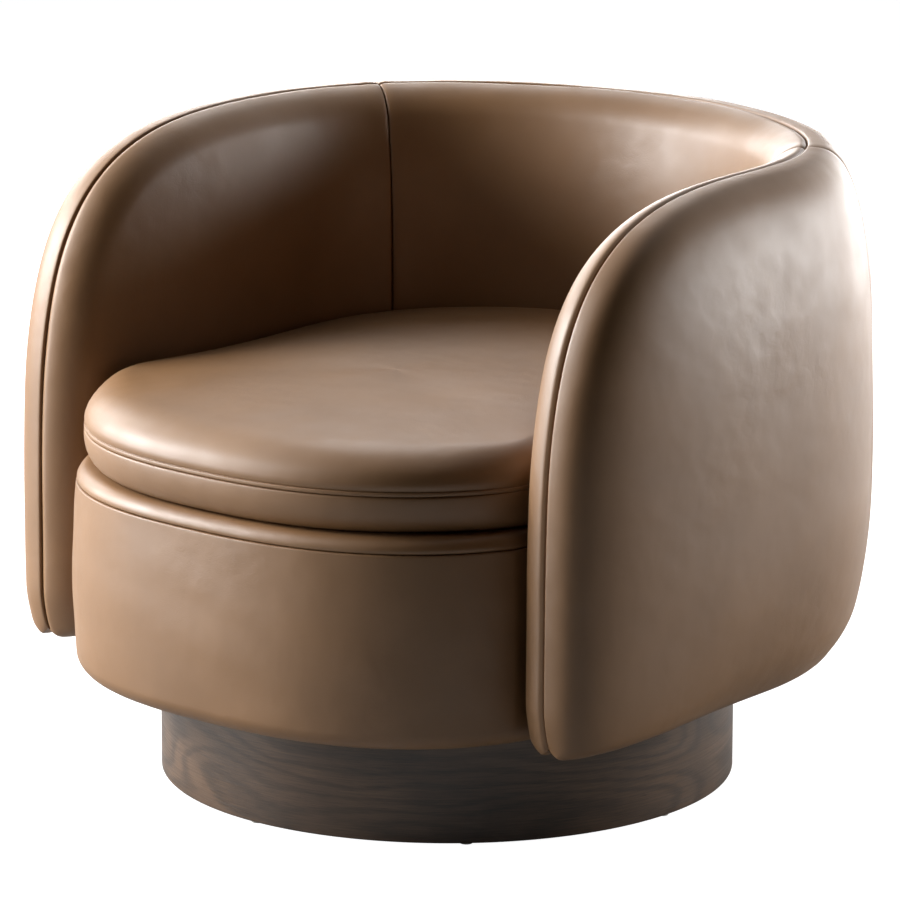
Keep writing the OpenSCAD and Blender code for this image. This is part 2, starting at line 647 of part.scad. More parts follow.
// Each spring's end bar lies in a C-shaped clip on the rail
clip_w = 16;
module spring_clips() {
    color(zinc) for (x = spring_x) for (e = [0, 1])
        translate([x - clip_w / 2, e == 0 ? -spring_front : spring_rear, wire_z]) mirror([0, e, 0])
            rotate([90, 0, 90]) linear_extrude(clip_w) difference() {
                union() {
                    circle(r = clip_r);
                    translate([-clip_foot, -clip_r]) square([clip_foot + clip_r, clip_floor]);
                }
                circle(r = clip_bore);
                rotate(20) translate([0, -clip_mouth / 2]) square([clip_r + eps, clip_mouth]);
            }
}

module spring_felt() {
    color([0.62, 0.60, 0.57]) translate([0, 0, felt_z]) linear_extrude(felt_t) box_outline(fit);
}

// Thin cloth that closes the seat box from below, open round the bearing
dust_t = 2.2;
dust_in = 2;
dust_gap = 6;
dust_hole_r = plate_w / sqrt(2) + dust_gap;
module dust_cover() {
    color([0.08, 0.08, 0.08]) translate([0, 0, box_z - dust_t - fit / 3]) linear_extrude(dust_t)
        difference() {
            box_outline(dust_in);
            circle(r = dust_hole_r);
        }
}

// The plinth
plinth_r = plinth_d / 2;
module plinth_hoop() {
    color(dark_wood) rotate_extrude($fn = 128) translate([plinth_r - plinth_wall, 0]) polygon([
        [0, glide_h], [plinth_wall - plinth_ease, glide_h], [plinth_wall, glide_h + plinth_ease],
        [plinth_wall, plinth_h - 1], [plinth_wall - 1, plinth_h], [0, plinth_h]]);
}
inner_r = plinth_r - plinth_wall - fit;
board_z = bearing_z - top_board_t;
access_a = 22;
access_r = 14;
module plinth_top_board() {
    color(birch) translate([0, 0, board_z]) difference() {
        cylinder(r = inner_r, h = top_board_t, $fn = 128);
        translate([0, 0, -eps]) cylinder(d = rivet_hole, h = top_board_t + 2 * eps);
        on_bolt_square(bolt_pitch) translate([0, 0, -eps])
            cylinder(d = bolt_d + 2 * fit, h = top_board_t + 2 * eps);
        // Hole for reaching the upper plate's bolts when the seat is turned
        rotate([0, 0, access_a]) translate([bolt_pitch / sqrt(2), 0, -eps])
            cylinder(r = access_r, h = top_board_t + 2 * eps);
    }
}
rail_h = board_z - glide_h;
module cross_rail(upper) {
    color(birch) translate([0, 0, glide_h]) difference() {
        translate([-inner_r + 1, -cross_rail_t / 2, 0]) cube([2 * inner_r - 2, cross_rail_t, rail_h]);
        translate([-cross_rail_t / 2 - fit / 2, -cross_rail_t, upper ? -eps : rail_h / 2 - fit / 2])
            cube([cross_rail_t + fit, 2 * cross_rail_t, rail_h / 2 + eps + fit / 2]);
    }
}
module cross_rail_long() { cross_rail(false); }
module cross_rail_short() { rotate([0, 0, 90]) cross_rail(true); }
block_n = 8;
block_w = 30;
block_h = 40;
module glue_blocks() {
    color(birch) for (i = [0:block_n - 1]) rotate([0, 0, 360 / block_n * (i + 0.5)])
        intersection() {
            translate([inner_r - block_w, -block_w, board_z - block_h])
                cube([block_w, 2 * block_w, block_h - fit / 3]);
            cylinder(r = inner_r, h = board_z, $fn = 128);
        }
}
glide_n = 8;
centre_glide_d = 20;
module floor_glides() {
    color([0.75, 0.74, 0.70]) {
        for (i = [0:glide_n - 1]) rotate([0, 0, 360 / glide_n * i])
            translate([plinth_r - (plinth_wall + plinth_ease) / 2, 0, 0])
                cylinder(d = glide_d, h = glide_h);
        cylinder(d = centre_glide_d, h = glide_h);
    }
}

// The swivel bearing
ball_z = bearing_z + bearing_h / 2;
groove_r = ball_d / 2 + 0.15;
race_half = 9;
// A square plate with cut corners
module bearing_plate() {
    h = plate_w / 2;
    c = plate_corner;
    linear_extrude(plate_t) polygon([[h, c - h], [h, h - c], [h - c, h], [c - h, h],
        [-h, h - c], [-h, c - h], [c - h, -h], [h - c, -h]]);
}
plate_corner = 22;
// Half the gap between the two races
race_gap = 1.8;
// Pressed ring with a groove for the balls, from height z towards them; the lower one opens upwards
module race(z, up) {
    rotate_extrude($fn = 96) difference() {
        translate([race_r - race_half, up ? z : ball_z + race_gap])
            square([2 * race_half, abs(ball_z - z) - race_gap]);
        translate([race_r, ball_z]) circle(r = groove_r);
    }
}
rivet_clear = 0.15;
module lower_swivel_plate() {
    color(zinc) difference() {
        union() {
            translate([0, 0, bearing_z]) bearing_plate();
            race(bearing_z + plate_t / 2, true);
        }
        translate([0, 0, bearing_z - eps]) cylinder(d = rivet_d + 2 * run_fit, h = plate_t + 2 * eps);
        on_bolt_square(bolt_pitch) translate([0, 0, bearing_z - eps])
            cylinder(d = bolt_d + 2 * fit, h = plate_t + 2 * eps);
    }
}
upper_z = bearing_z + bearing_h - plate_t;
module upper_swivel_plate() {
    color(zinc) difference() {
        union() {
            translate([0, 0, upper_z]) bearing_plate();
            race(upper_z + plate_t / 2, false);
        }
        translate([0, 0, upper_z - eps]) cylinder(d = rivet_d + 2 * run_fit, h = plate_t + 2 * eps);
        on_bolt_square(bolt_pitch) translate([0, 0, upper_z - eps])
            cylinder(d = bolt_d + 2 * fit, h = plate_t + 2 * eps);
    }
}
flange_t = 3;
module centre_rivet() {
    color(zinc) difference() {
        union() {
            translate([0, 0, bearing_z - flange_t - fit / 2]) {
                cylinder(d = rivet_d, h = bearing_h + 2 * flange_t + fit);
                cylinder(d = rivet_d + 2 * rivet_head, h = flange_t);
            }
            translate([0, 0, bearing_z + bearing_h + rivet_clear])
                cylinder(d = rivet_d + 2 * rivet_head, h = flange_t);
        }
        translate([0, 0, bearing_z - flange_t - eps])
            cylinder(d = rivet_d - 2 * flange_t, h = bearing_h + 3 * flange_t);
    }
}
cage_t = 1.6;
cage_fit = 0.1;
module ball_cage() {
    color(zinc) difference() {
        rotate_extrude($fn = 96) translate([race_r - race_half, ball_z - cage_t / 2])
            square([2 * race_half, cage_t]);
        for (i = [0:ball_count - 1]) rotate([0, 0, 360 / ball_count * i])
            translate([race_r, 0, ball_z - cage_t]) cylinder(d = ball_d + 2 * cage_fit, h = 2 * cage_t);
    }
}
module bearing_balls() {
    color([0.85, 0.85, 0.87]) for (i = [0:ball_count - 1]) rotate([0, 0, 360 / ball_count * i])
        translate([race_r, 0, ball_z]) sphere(d = ball_d, $fn = 24);
}
head_h = 5;
// Length of the lower bolts below the top board, and of the tee nuts' barrels
plate_bolt_tail = 9;
tee_l = 10;
tee_flange = 5;
tee_t = 1.5;
// A hexagon for a bolt of the given diameter, measured across its corners
module hex_head(h) { cylinder(d = bolt_d * 1.75, h = h, $fn = 6); }
module lower_plate_bolts() {
    color(black_steel) on_bolt_square(bolt_pitch) {
        translate([0, 0, bearing_z + plate_t]) hex_head(head_h);
        translate([0, 0, board_z - plate_bolt_tail])
            cylinder(d = bolt_d, h = bearing_z + plate_t - board_z + plate_bolt_tail + eps);
    }
}
module lower_plate_nuts() {
    color(zinc) on_bolt_square(bolt_pitch) translate([0, 0, board_z - nut_t - fit / 3]) difference() {
        hex_head(nut_t);
        translate([0, 0, -eps]) cylinder(d = bolt_d + 2 * run_fit, h = nut_t + 2 * eps);
    }
}
module upper_plate_bolts() {
    color(black_steel) on_bolt_square(bolt_pitch) {
        translate([0, 0, upper_z - head_h]) hex_head(head_h);
        translate([0, 0, upper_z - eps]) cylinder(d = bolt_d, h = plate_t + base_board_t + 2 * eps);
    }
}
module tee_nuts() {
    color(zinc) on_bolt_square(bolt_pitch) difference() {
        union() {
            translate([0, 0, wall_z + fit / 3]) cylinder(r = tee_r + tee_flange, h = tee_t);
            translate([0, 0, wall_z - tee_l]) cylinder(r = tee_r, h = tee_l + eps);
        }
        translate([0, 0, wall_z - tee_l - eps])
            cylinder(d = bolt_d + 2 * run_fit, h = tee_l + tee_t + 3 * eps);
    }
}

plinth_hoop();
plinth_top_board();
cross_rail_long();
cross_rail_short();
glue_blocks();
floor_glides();
lower_swivel_plate();
lower_plate_bolts();
lower_plate_nuts();
centre_rivet();
ball_cage();
bearing_balls();
upper_swivel_plate();
upper_plate_bolts();
tee_nuts();
seat_base_board();
front_hoop();
side_rail_left();
side_rail_right();
back_rail();
corner_blocks();
front_spring_rail();
rear_spring_rail();
sinuous_springs();
spring_clips();
spring_felt();
deck_pad();
drum_apron();
dust_cover();
seat_cushion();
shell_panel();
shell_bolts();
shell_bolt_nuts();
inside_back();
inside_arm_left();
inside_arm_right();
outside_back();
outside_arm_left();
outside_arm_right();
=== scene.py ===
"""Looks of a tub swivel chair: leather covers, cushion and drum over a ball-bearing oak plinth.

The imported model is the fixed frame. Each soft piece is a surface worked out in millimetres on two
parameters, and put() turns it into a mesh in metres, in the frame's own place.
"""

import bpy
import numpy as np
from mathutils import Matrix, Vector


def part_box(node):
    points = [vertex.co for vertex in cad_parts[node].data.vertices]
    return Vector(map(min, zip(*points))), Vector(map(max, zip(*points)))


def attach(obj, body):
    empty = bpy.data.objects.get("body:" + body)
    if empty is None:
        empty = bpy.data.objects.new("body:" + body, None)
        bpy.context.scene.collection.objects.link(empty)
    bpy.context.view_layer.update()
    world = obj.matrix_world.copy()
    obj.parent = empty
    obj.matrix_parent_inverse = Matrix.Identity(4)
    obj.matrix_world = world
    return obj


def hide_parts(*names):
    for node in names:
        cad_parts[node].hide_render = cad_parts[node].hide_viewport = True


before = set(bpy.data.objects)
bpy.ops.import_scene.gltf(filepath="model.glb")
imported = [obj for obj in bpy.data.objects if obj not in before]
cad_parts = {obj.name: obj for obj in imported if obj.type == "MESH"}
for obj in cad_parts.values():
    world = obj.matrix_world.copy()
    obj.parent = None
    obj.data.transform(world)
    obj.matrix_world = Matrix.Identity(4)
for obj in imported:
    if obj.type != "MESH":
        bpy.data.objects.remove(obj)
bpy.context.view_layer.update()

# Lengths below are in millimetres, and this turns them into metres
MM = 0.001


def level(node, end):
    """Height of a node's lowest (0) or highest (1) point, in millimetres."""
    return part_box(node)[end].z / MM


# Heights and reaches that the frame gives
SHELL_Z = level("outside_back", 0)
SHELL_TOP = level("outside_back", 1)
INNER_Z = level("inside_back", 0)
DRUM_Z = level("drum_apron", 0)
APRON_TOP = level("drum_apron", 1)
DECK_Z = level("deck_pad", 0)
DECK_TOP = level("deck_pad", 1)
CUSHION_Z = level("seat_cushion", 0)
HOOP_Z = level("plinth_hoop", 0)
HOOP_TOP = level("plinth_hoop", 1)
HOOP_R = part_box("plinth_hoop")[1].x / MM
ARM_FRONT = -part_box("outside_arm_left")[0].y / MM

# Plan of the shell's seam: the back's arc, the corners' arcs, and the arms' lines, which splay a little
BACK_R = 386.0
BACK_Y = 377.0
CORNER_R = 270.0
ARM_X = 347.5
ARM_SPLAY = np.radians(1.4)
BACK_HALF = 351.0
PLAN_EASE = 70.0

# Side view of the seam: a squared quarter ellipse over each arm, and below it the front edge's bow
SHOULDER_L = 437.0
SHOULDER_H = 499.0
SHOULDER_N = 4.0
TOE_BOW = 10.0
BOW_POWER = 1.7
SHOULDER_Z = SHELL_TOP - SHOULDER_H
SHOULDER_Y = SHOULDER_L - ARM_FRONT

# Thickness of the inside covers: a roll at the seam and a swell behind it
INNER_ROLL = 33.0
INNER_SWELL = 26.0
INNER_REACH = 165.0
INNER_FOOT = 22.0

# Thickness of the outside covers at the back and at the arms, and the share of it that the foot has
OUTER_BACK = 72.0
OUTER_ARM = 78.0
OUTER_REACH = 350.0
OUTER_N = 3.0
OUTER_FILL = 210.0
FILL_BACK = 0.25
FILL_FRONT = 0.82

# Foot of the covers: its roundings, and how far it is tucked up, sags and drops
FOOT_BACK = 75.0
FOOT_FRONT = 24.0
FOOT_N = 2.5
FOOT_CUT = 10.0
FOOT_ROUND = 12.0
FOOT_SAG = 1.5
FOOT_TUCK = 7.0
FOOT_DROP = 4.5
DROP_FULL = 12.0
DROP_FROM = 42.0
DROP_RUN = 34.0
TUCK_RUN = 6.0
FOOT_NEAR = 9.0

# Where the inside arms end beside the drum, the leather's edge at the seam, and the hidden faces
NOTCH_Y = -190.0
LEATHER_T = 1.2
EDGE_RUN = 3.0
SLIT_HALF = 0.15
PANEL_SIDE = 6.3
PANEL_RAMP = 5.3

# The seams' grooves: each is a slit and a bell-shaped roll, and the upright one has a puff beside it
GROOVE_DEPTH = 7.0
GROOVE_BACK = 9.0
SOFT_SLIT = 0.45
SOFT_ROLL = 2.3
SOFT_WIDTH = 3.4
CRISP_SLIT = 0.32
CRISP_ROLL = 0.4
CRISP_WIDTH = 1.8
UPRIGHT_GAP = 0.3
UPRIGHT_DEPTH = 5.0
UPRIGHT_SLIT = 0.4
UPRIGHT_ROLL = 0.9
UPRIGHT_WIDTH = 3.4
PUFF = 0.4
PUFF_AWAY = 12.0
PUFF_WIDTH = 7.0

# Steps away from a seam
FIRST_STEP = 0.1
SEAM_FINE = 10.0
SEAM_COUNT = 22

# Drum, its apron, and the deck pad's edge
DRUM_W = 321.0
DRUM_D = 310.0
DRUM_N = 2.5
DRUM_AHEAD = 82.0
APRON_BULGE = 5.0
APRON_ROUND = 20.0
APRON_T = 25.0
APRON_END_Y = NOTCH_Y - 1.5
APRON_GROOVE = 0.35
DECK_ROLL = 16.0
DECK_GROOVE = 0.5

# How the seat pieces lie between the arms
SEAT_FIT = 1.2
ARM_CLEAR = 0.3
JOIN_POWER = 40.0
LEAST_SINE = 0.02

# Cushion: its outline, the tucked-in band, the sewn strip, and the shoulder up to the crown
CUSHION_W = 316.0
CUSHION_D = 312.0
CUSHION_N = 2.4
BAND_H = 41.0
BAND_TUCK = 24.0
SEAM_GAP = 5.0
SEAM_IN = 2.0
SHOULDER_IN = 60.0
SHOULDER_RISE = 40.0
CROWN = 14.0

# How the shoulder narrows where the arms hold it, and how the upper side rises to the back
SHOULDER_HELD = 34.0
HELD_FROM = 0.75
HELD_RUN = 0.45
REAR_RISE = 10.5
RISE_START = -150.0
RISE_RUN = 390.0
RISE_BEND = 2.0
RISE_END = 1.1


def swell(u, n=2.0):
    """Quarter of a rounded profile: nothing at u = 0, one at u = 1, squarer as n grows."""
    return (1 - (1 - np.clip(u, 0, 1)) ** n) ** (1 / n)


def dome(u):
    """Parabola that rises from nothing at u = 0 and levels off at one at u = 1."""
    return 1 - (1 - np.clip(u, 0, 1)) ** 2


def smooth(u):
    """S-curve from nothing at u = 0 to one at u = 1: three u squared less two u cubed."""
    c = np.clip(u, 0, 1)
    return c * c * (3 - 2 * c)


def bell(x, width):
    """Bump of height one round x = 0 that falls off as the square of x over the width."""
    return np.exp(-(x / width) ** 2)


def running_sum(values, step):
    """Integral of equally spaced values by the trapezium rule, starting from nothing."""
    return np.concatenate([[0.0], np.cumsum((values[1:] + values[:-1]) / 2) * step])


WAVE_COUNT = 14
WAVE_LONGEST = 2.5


def waves(x, y, size, seed):
    """Gentle uneven surface about one high: a mean of sine waves in seeded directions, whose lengths
    lie between size and two and a half sizes."""
    rng = np.random.default_rng(seed)
    angle = rng.uniform(0, 2 * np.pi, WAVE_COUNT)
    pace = 2 * np.pi / (size * rng.uniform(1.0, WAVE_LONGEST, WAVE_COUNT))
    phase = rng.uniform(0, 2 * np.pi, WAVE_COUNT)
    along = np.multiply.outer(x, pace * np.cos(angle)) + np.multiply.outer(y, pace * np.sin(angle))
    return np.sin(along + phase).sum(-1) * np.sqrt(2 / WAVE_COUNT) / 2


def fine_then_even(fine, end, count, fine_count=SEAM_COUNT):
    """Distances from a seam: a geometric run from the first step up to fine, then even steps to end."""
    return np.concatenate([np.geomspace(FIRST_STEP, fine, fine_count),
                           np.linspace(fine, end, count + 1)[1:]])


# Lengths along the seam's plan, from the middle of the back
CORNER_START = np.array([np.cos(ARM_SPLAY), np.sin(ARM_SPLAY)])
ARM_ALONG = np.array([-np.sin(ARM_SPLAY), np.cos(ARM_SPLAY)])
BACK_C = np.array([0.0, BACK_Y - BACK_R])


def corner_centre():
    """Centre of the corner's arc: it touches the back's arc inside and the arm's line."""
    start = np.array([ARM_X, 0.0]) - CORNER_R * CORNER_START - BACK_C
    b = start @ ARM_ALONG
    k = -b + np.sqrt(b * b - start @ start + (BACK_R - CORNER_R) ** 2)
    return BACK_C + start + k * ARM_ALONG


CORNER_C = corner_centre()
CORNER_A = np.arctan2(CORNER_C[0] - BACK_C[0], CORNER_C[1] - BACK_C[1])
ARC_BACK = BACK_R * CORNER_A
ARC_END = ARC_BACK + CORNER_R * (np.pi / 2 - ARM_SPLAY - CORNER_A)
ARM_END = ARC_END + (CORNER_C[1] + CORNER_R * CORNER_START[1] + ARM_FRONT) / ARM_ALONG[1]
PLAN_STEP = 0.25
PLAN_BEYOND = 60.0


def plan_curve():
    """The seam's plan as stations, directions and places. The curvature goes smoothly from the back's
    to the corner's and then to none; its integral is the direction, whose integral is the place."""
    station = np.arange(0, ARM_END + PLAN_BEYOND, PLAN_STEP)
    corner = smooth((station - ARC_BACK) / (2 * PLAN_EASE) + 0.5)
    arm = smooth((station - ARC_END) / (2 * PLAN_EASE) + 0.5)
    bend = (1 - corner) / BACK_R + (corner - arm) / CORNER_R
    face = running_sum(bend, PLAN_STEP)
    x = running_sum(np.cos(face), PLAN_STEP)
    y = BACK_Y - running_sum(np.sin(face), PLAN_STEP)
    return station, face, x, y


STATION, FACE, PLAN_X, PLAN_Y = plan_curve()


def plan(l, t):
    """Point at distance l along the seam from the back's middle, offset outwards by t."""
    a = np.abs(l)
    face = np.interp(a, STATION, FACE)
    x = np.interp(a, STATION, PLAN_X) + t * np.sin(face)
    y = np.interp(a, STATION, PLAN_Y) + t * np.cos(face)
    return np.where(l < 0, -x, x), y


def station_at(y):
    """Distance along the left half of the seam's plan at which it reaches y."""
    return np.interp(-y, -PLAN_Y, STATION)


def bow(z):
    """How far the arm's front edge leans back at height z, growing towards the foot."""
    return TOE_BOW * (np.maximum(0, SHOULDER_Z - z) / (SHOULDER_Z - SHELL_Z)) ** BOW_POWER


def inner_thickness(s):
    """Thickness of an inside cover at distance s from the seam: a round roll and a flatter swell."""
    return INNER_ROLL * swell(s / INNER_ROLL) + INNER_SWELL * dome(s / INNER_REACH)


def foot_share(h, foot, n):
    """Share of a cover's thickness at height h above its lower edge: the first part of a tall rounding
    is cut off there, and the edge itself is round."""
    return swell((h + FOOT_CUT) / foot, n) * swell(h / FOOT_ROUND)


def outer_full(l):
    """Full thickness of an outside cover, growing from the back to the arm."""
    arm = smooth((np.abs(l) - ARC_BACK) / (ARC_END - ARC_BACK))
    return OUTER_BACK + (OUTER_ARM - OUTER_BACK) * arm


def outer_share(l, h):
    """Share of an outside cover's thickness at height h above its foot: it fills out over the lower
    part and closes in a round foot, and both change from the back to the arm's front."""
    front = smooth((np.abs(l) - ARC_END) / (ARM_END - ARC_END))
    fill = FILL_BACK + (FILL_FRONT - FILL_BACK) * front
    foot = FOOT_BACK + (FOOT_FRONT - FOOT_BACK) * front
    return (fill + (1 - fill) * swell((h + FOOT_CUT) / OUTER_FILL)) * foot_share(h, foot, FOOT_N)


# Rows of the covers, from the seam inwards, as a distance s from the seam and a thickness t
ROLL_ROWS = 16
INNER_FLAT_ROWS = 54
OUTER_ROWS = 14
OUTER_SHARE_END = 0.92
OUTER_FLAT_ROWS = 60


def rows_over(start, reach, count):
    """The same first rows in every column, then even steps up to the column's reach."""
    flat = np.linspace(0, 1, count + 1)[1:]
    first = np.broadcast_to(start, (len(reach), len(start)))
    return np.concatenate([first, start[-1] + np.multiply.outer(reach - start[-1], flat)], axis=1)


def inner_profile(reach):
    """Rows of an inside cover for each column's reach: fine steps beside the seam, then equal turns
    round the roll, then even steps over the flat part. Returns s and t."""
    turn = fine_then_even(SEAM_FINE, INNER_ROLL * np.pi / 2, ROLL_ROWS) / INNER_ROLL
    s = rows_over(INNER_ROLL * (1 - np.cos(turn)), reach, INNER_FLAT_ROWS)
    return s, inner_thickness(s)


def outer_profile(reach, full):
    """Rows of an outside cover for each column's reach and full thickness: fine steps beside the seam,
    then equal steps in thickness while the swell is steep, then even steps. Returns s and t."""
    share = fine_then_even(SEAM_FINE, OUTER_SHARE_END * OUTER_ARM, OUTER_ROWS) / OUTER_ARM
    s = rows_over(OUTER_REACH * (1 - (1 - share ** OUTER_N) ** (1 / OUTER_N)), reach, OUTER_FLAT_ROWS)
    return s, full[:, None] * swell(s / OUTER_REACH, OUTER_N)


def inward(s, t):
    """Unit direction into the cover at each point of its rows: the row's own direction turned a
    quarter, as parts along s and t."""
    ds = np.gradient(s, axis=1)
    dt = np.gradient(t, axis=1)
    size = np.hypot(ds, dt)
    return dt / size, -ds / size


def soft_groove(x):
    """Depth of a seam at distance x from it, on the puffed side: a slit and a soft roll into it."""
    return GROOVE_DEPTH * np.exp(-x / SOFT_SLIT) + SOFT_ROLL * bell(x, SOFT_WIDTH)


def crisp_groove(x):
    """Depth of a seam at distance x from it, on the tight side: a slit with a crisp edge."""
    return GROOVE_DEPTH * np.exp(-x / CRISP_SLIT) + CRISP_ROLL * bell(x, CRISP_WIDTH)


def upright_groove(x):
    """Depth of an upright seam at distance x from it: a slit, a soft hollow and a faint puff."""
    hollow = UPRIGHT_ROLL * bell(x, UPRIGHT_WIDTH) - PUFF * bell(x - PUFF_AWAY, PUFF_WIDTH)
    return UPRIGHT_DEPTH * np.exp(-x / UPRIGHT_SLIT) + hollow


def back_offset(s, h):
    """Distance from the shell's middle to a cover's hidden face: it clears the panel, and runs out
    to nothing at the seam and at the foot."""
    ramp = np.clip(np.minimum(s - GROOVE_BACK, h) / PANEL_RAMP, 0, 1)
    return SLIT_HALF + (PANEL_SIDE - SLIT_HALF) * ramp


def cover_points(l, z, side, t, nominal):
    """Front face of a cover from its sheet coordinates: l along the seam's plan, height z and
    thickness t, on the outside (1) or the inside (-1) of the shell. Close to the foot the face tucks up
    where it is thin, sags a little, and drops where it is neither thin nor at its fullest."""
    edge = SLIT_HALF + LEATHER_T * smooth(nominal / EDGE_RUN)
    x, y = plan(l, side * (edge + t))
    full = smooth(t / DROP_FULL) * (1 - smooth((t - DROP_FROM) / DROP_RUN))
    tucked = FOOT_TUCK * np.exp(-t / TUCK_RUN) - FOOT_SAG - FOOT_DROP * full
    return np.stack([x, y, z + tucked * bell(z - SHELL_Z, FOOT_NEAR)], -1)


# Columns of the covers
FOOT_COLS = 18
SHOULDER_COLS = 150
SHOULDER_FINE = 4001
COLUMN_STEP = 5.5
UPRIGHT_FINE = 14.0
UPRIGHT_COUNT = 18


def foot_heights():
    """Heights from the foot to the shoulder's start, closest together at the foot's rounding."""
    turn = np.linspace(0, np.pi / 2, FOOT_COLS + 1)
    return SHELL_Z + (SHOULDER_Z - SHELL_Z) * (1 - np.cos(turn))


def shoulder_params():
    """Points of the shoulder's curve at equal steps of its length, as shares of its length and height:
    a squared quarter ellipse, the roots of cosine and sine."""
    turn = np.linspace(0, np.pi / 2, SHOULDER_FINE)
    across = np.cos(turn) ** (2 / SHOULDER_N)
    up = np.sin(turn) ** (2 / SHOULDER_N)
    length = np.concatenate([[0.0], np.cumsum(np.hypot(SHOULDER_L * np.diff(across),
                                                       SHOULDER_H * np.diff(up)))])
    even = np.linspace(0, length[-1], SHOULDER_COLS + 1)[1:]
    at = np.interp(even, length, turn)
    return np.cos(at) ** (2 / SHOULDER_N), np.sin(at) ** (2 / SHOULDER_N)


def upright_steps(span):
    """Distances from an upright seam: fine beside it, then even steps up to the span."""
    even = int(round((span - UPRIGHT_FINE) / COLUMN_STEP))
    return fine_then_even(UPRIGHT_FINE, span, even, UPRIGHT_COUNT)


def arm_rays():
    """The arm's columns as rays from the seam: heights of the foot's rows, then the shoulder's curve.
    Returns each ray's reach across and up, the height that it starts from, and its pace: how fast the
    share of the ray falls for each millimetre from the seam."""
    low = foot_heights()
    across, up = shoulder_params()
    c = np.concatenate([np.ones(len(low)), across])
    s = np.concatenate([np.zeros(len(low)), up])
    base = np.concatenate([low, np.full(len(up), SHOULDER_Z)])
    length = SHOULDER_L - bow(base)
    pace = np.hypot(c ** (SHOULDER_N - 1) / length, s ** (SHOULDER_N - 1) / SHOULDER_H)
    return c * length, s * SHOULDER_H, base, pace


def ray_place(rays):
    """Placing of the arm's rays: station and height at distances s from the seam along each."""
    across, up, base, pace = (r[:, None] for r in rays)

    def place(s):
        share = 1 - s * pace
        return station_at(SHOULDER_Y - share * across), base + share * up

    return place


ARM_TOP_L = station_at(SHOULDER_Y)
NOTCH_SHARE = (SHOULDER_Y - NOTCH_Y) / SHOULDER_L


def numbers_of(points):
    """Vertex numbers of a grid of points, columns by rows."""
    return np.arange(points[..., 0].size).reshape(points.shape[:2])


def quads_of(grid):
    """Quads over a grid of vertex numbers, columns by rows."""
    return np.stack([grid[:-1, :-1], grid[1:, :-1], grid[1:, 1:], grid[:-1, 1:]], -1).reshape(-1, 4)


def split_faces(quads):
    """Divides quads into true ones and triangles, whose last two corners are one vertex."""
    pole = quads[:, 2] == quads[:, 3]
    return quads[~pole], quads[pole][:, :3]


def rim_of(quads, count):
    """Edges that only one face has, each in that face's direction."""
    a = quads.reshape(-1)
    b = np.roll(quads, -1, axis=1).reshape(-1)
    real = a != b
    a, b = a[real], b[real]
    once = ~np.isin(a * count + b, b * count + a)
    return a[once], b[once]


def volume(points, quads, tris):
    """Signed volume inside a closed mesh: a sixth of the sum of each triangle's triple product."""
    flat = np.concatenate([quads[:, [0, 1, 2]], quads[:, [0, 2, 3]], tris])
    a, b, c = points[flat[:, 0]], points[flat[:, 1]], points[flat[:, 2]]
    return np.einsum("ij,ij->", a, np.cross(b, c)) / 6


def put(name, points, quads, tris, node, body, material):
    """Makes a closed mesh from points in millimetres, faces outwards, in place of a node."""
    used, index = np.unique(np.concatenate([quads.reshape(-1), tris.reshape(-1)]), return_inverse=True)
    points = points[used]
    index = index.reshape(-1)
    quads, tris = index[:quads.size].reshape(-1, 4), index[quads.size:].reshape(-1, 3)
    if volume(points, quads, tris) < 0:
        quads, tris = quads[:, ::-1], tris[:, ::-1]
    mesh = bpy.data.meshes.new(name)
    mesh.from_pydata((points * MM).tolist(), [], quads.tolist() + tris.tolist())
    mesh.polygons.foreach_set("use_smooth", np.ones(len(mesh.polygons), bool))
    mesh.materials.append(material)
    mesh.update()
    piece = bpy.data.objects.new(name, mesh)
    bpy.context.scene.collection.objects.link(piece)
    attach(piece, body)
    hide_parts(node)
    return piece


def put_wall(name, front, back, quads, node, material):
    """A padded cover: its front face, its hidden face with the same columns and rows, and the strip
    that joins their rims."""
    points = np.concatenate([front.reshape(-1, 3), back.reshape(-1, 3)])
    count = len(points) // 2
    a, b = rim_of(quads, count)
    strip = np.stack([b, a, a + count, b + count], -1)
    true_quads, tris = split_faces(quads)
    all_quads = np.concatenate([true_quads, true_quads[:, ::-1] + count, strip])
    all_tris = np.concatenate([tris, tris[:, ::-1] + count])
    piece = put(name, points, all_quads, all_tris, node, "seat", material)
    return piece


# Covers of the shell
RIPPLE = 0.45
RIPPLE_SIZE = 95.0
INSIDE_BACK_SEED = 11
OUTSIDE_BACK_SEED = 12
INSIDE_ARM_SEED = 13
OUTSIDE_ARM_SEED = 14


def sink(s, t, depth):
    """Moves the rows into the cover by the given depth."""
    down, out = inward(s, t)
    return s + depth * down, t + depth * out


def cover_faces(side, s0, t0, place, upright, seed):
    """Front and hidden face of a cover, outside (1) or inside (-1) the shell. The rows sink into the
    seam along the top, which is crisp on the outside and soft on the inside, into the upright seam at
    distance upright from each column, and by a gentle ripple."""
    groove = crisp_groove(t0) if side > 0 else soft_groove(t0)
    ripple = RIPPLE * waves(*place(s0), RIPPLE_SIZE, seed)
    s, t = sink(s0, t0, groove + upright_groove(upright)[:, None] + ripple)
    l, z = place(s)
    share = outer_share(l, z - SHELL_Z) if side > 0 else foot_share(z - SHELL_Z, INNER_FOOT, 2)
    front = cover_points(l, z, side, t * share, t0)
    sb = s0 + GROOVE_BACK * (1 - s0 / s0[:, -1:])
    lb, zb = place(sb)
    xb, yb = plan(lb, side * back_offset(sb, zb - SHELL_Z))
    return front, np.stack([xb, yb, zb], -1)


def upright_place(l):
    """Placing of columns that stand upright at stations l: height falls with distance from the seam."""
    return lambda s: (np.broadcast_to(l[:, None], s.shape), SHELL_TOP - s)


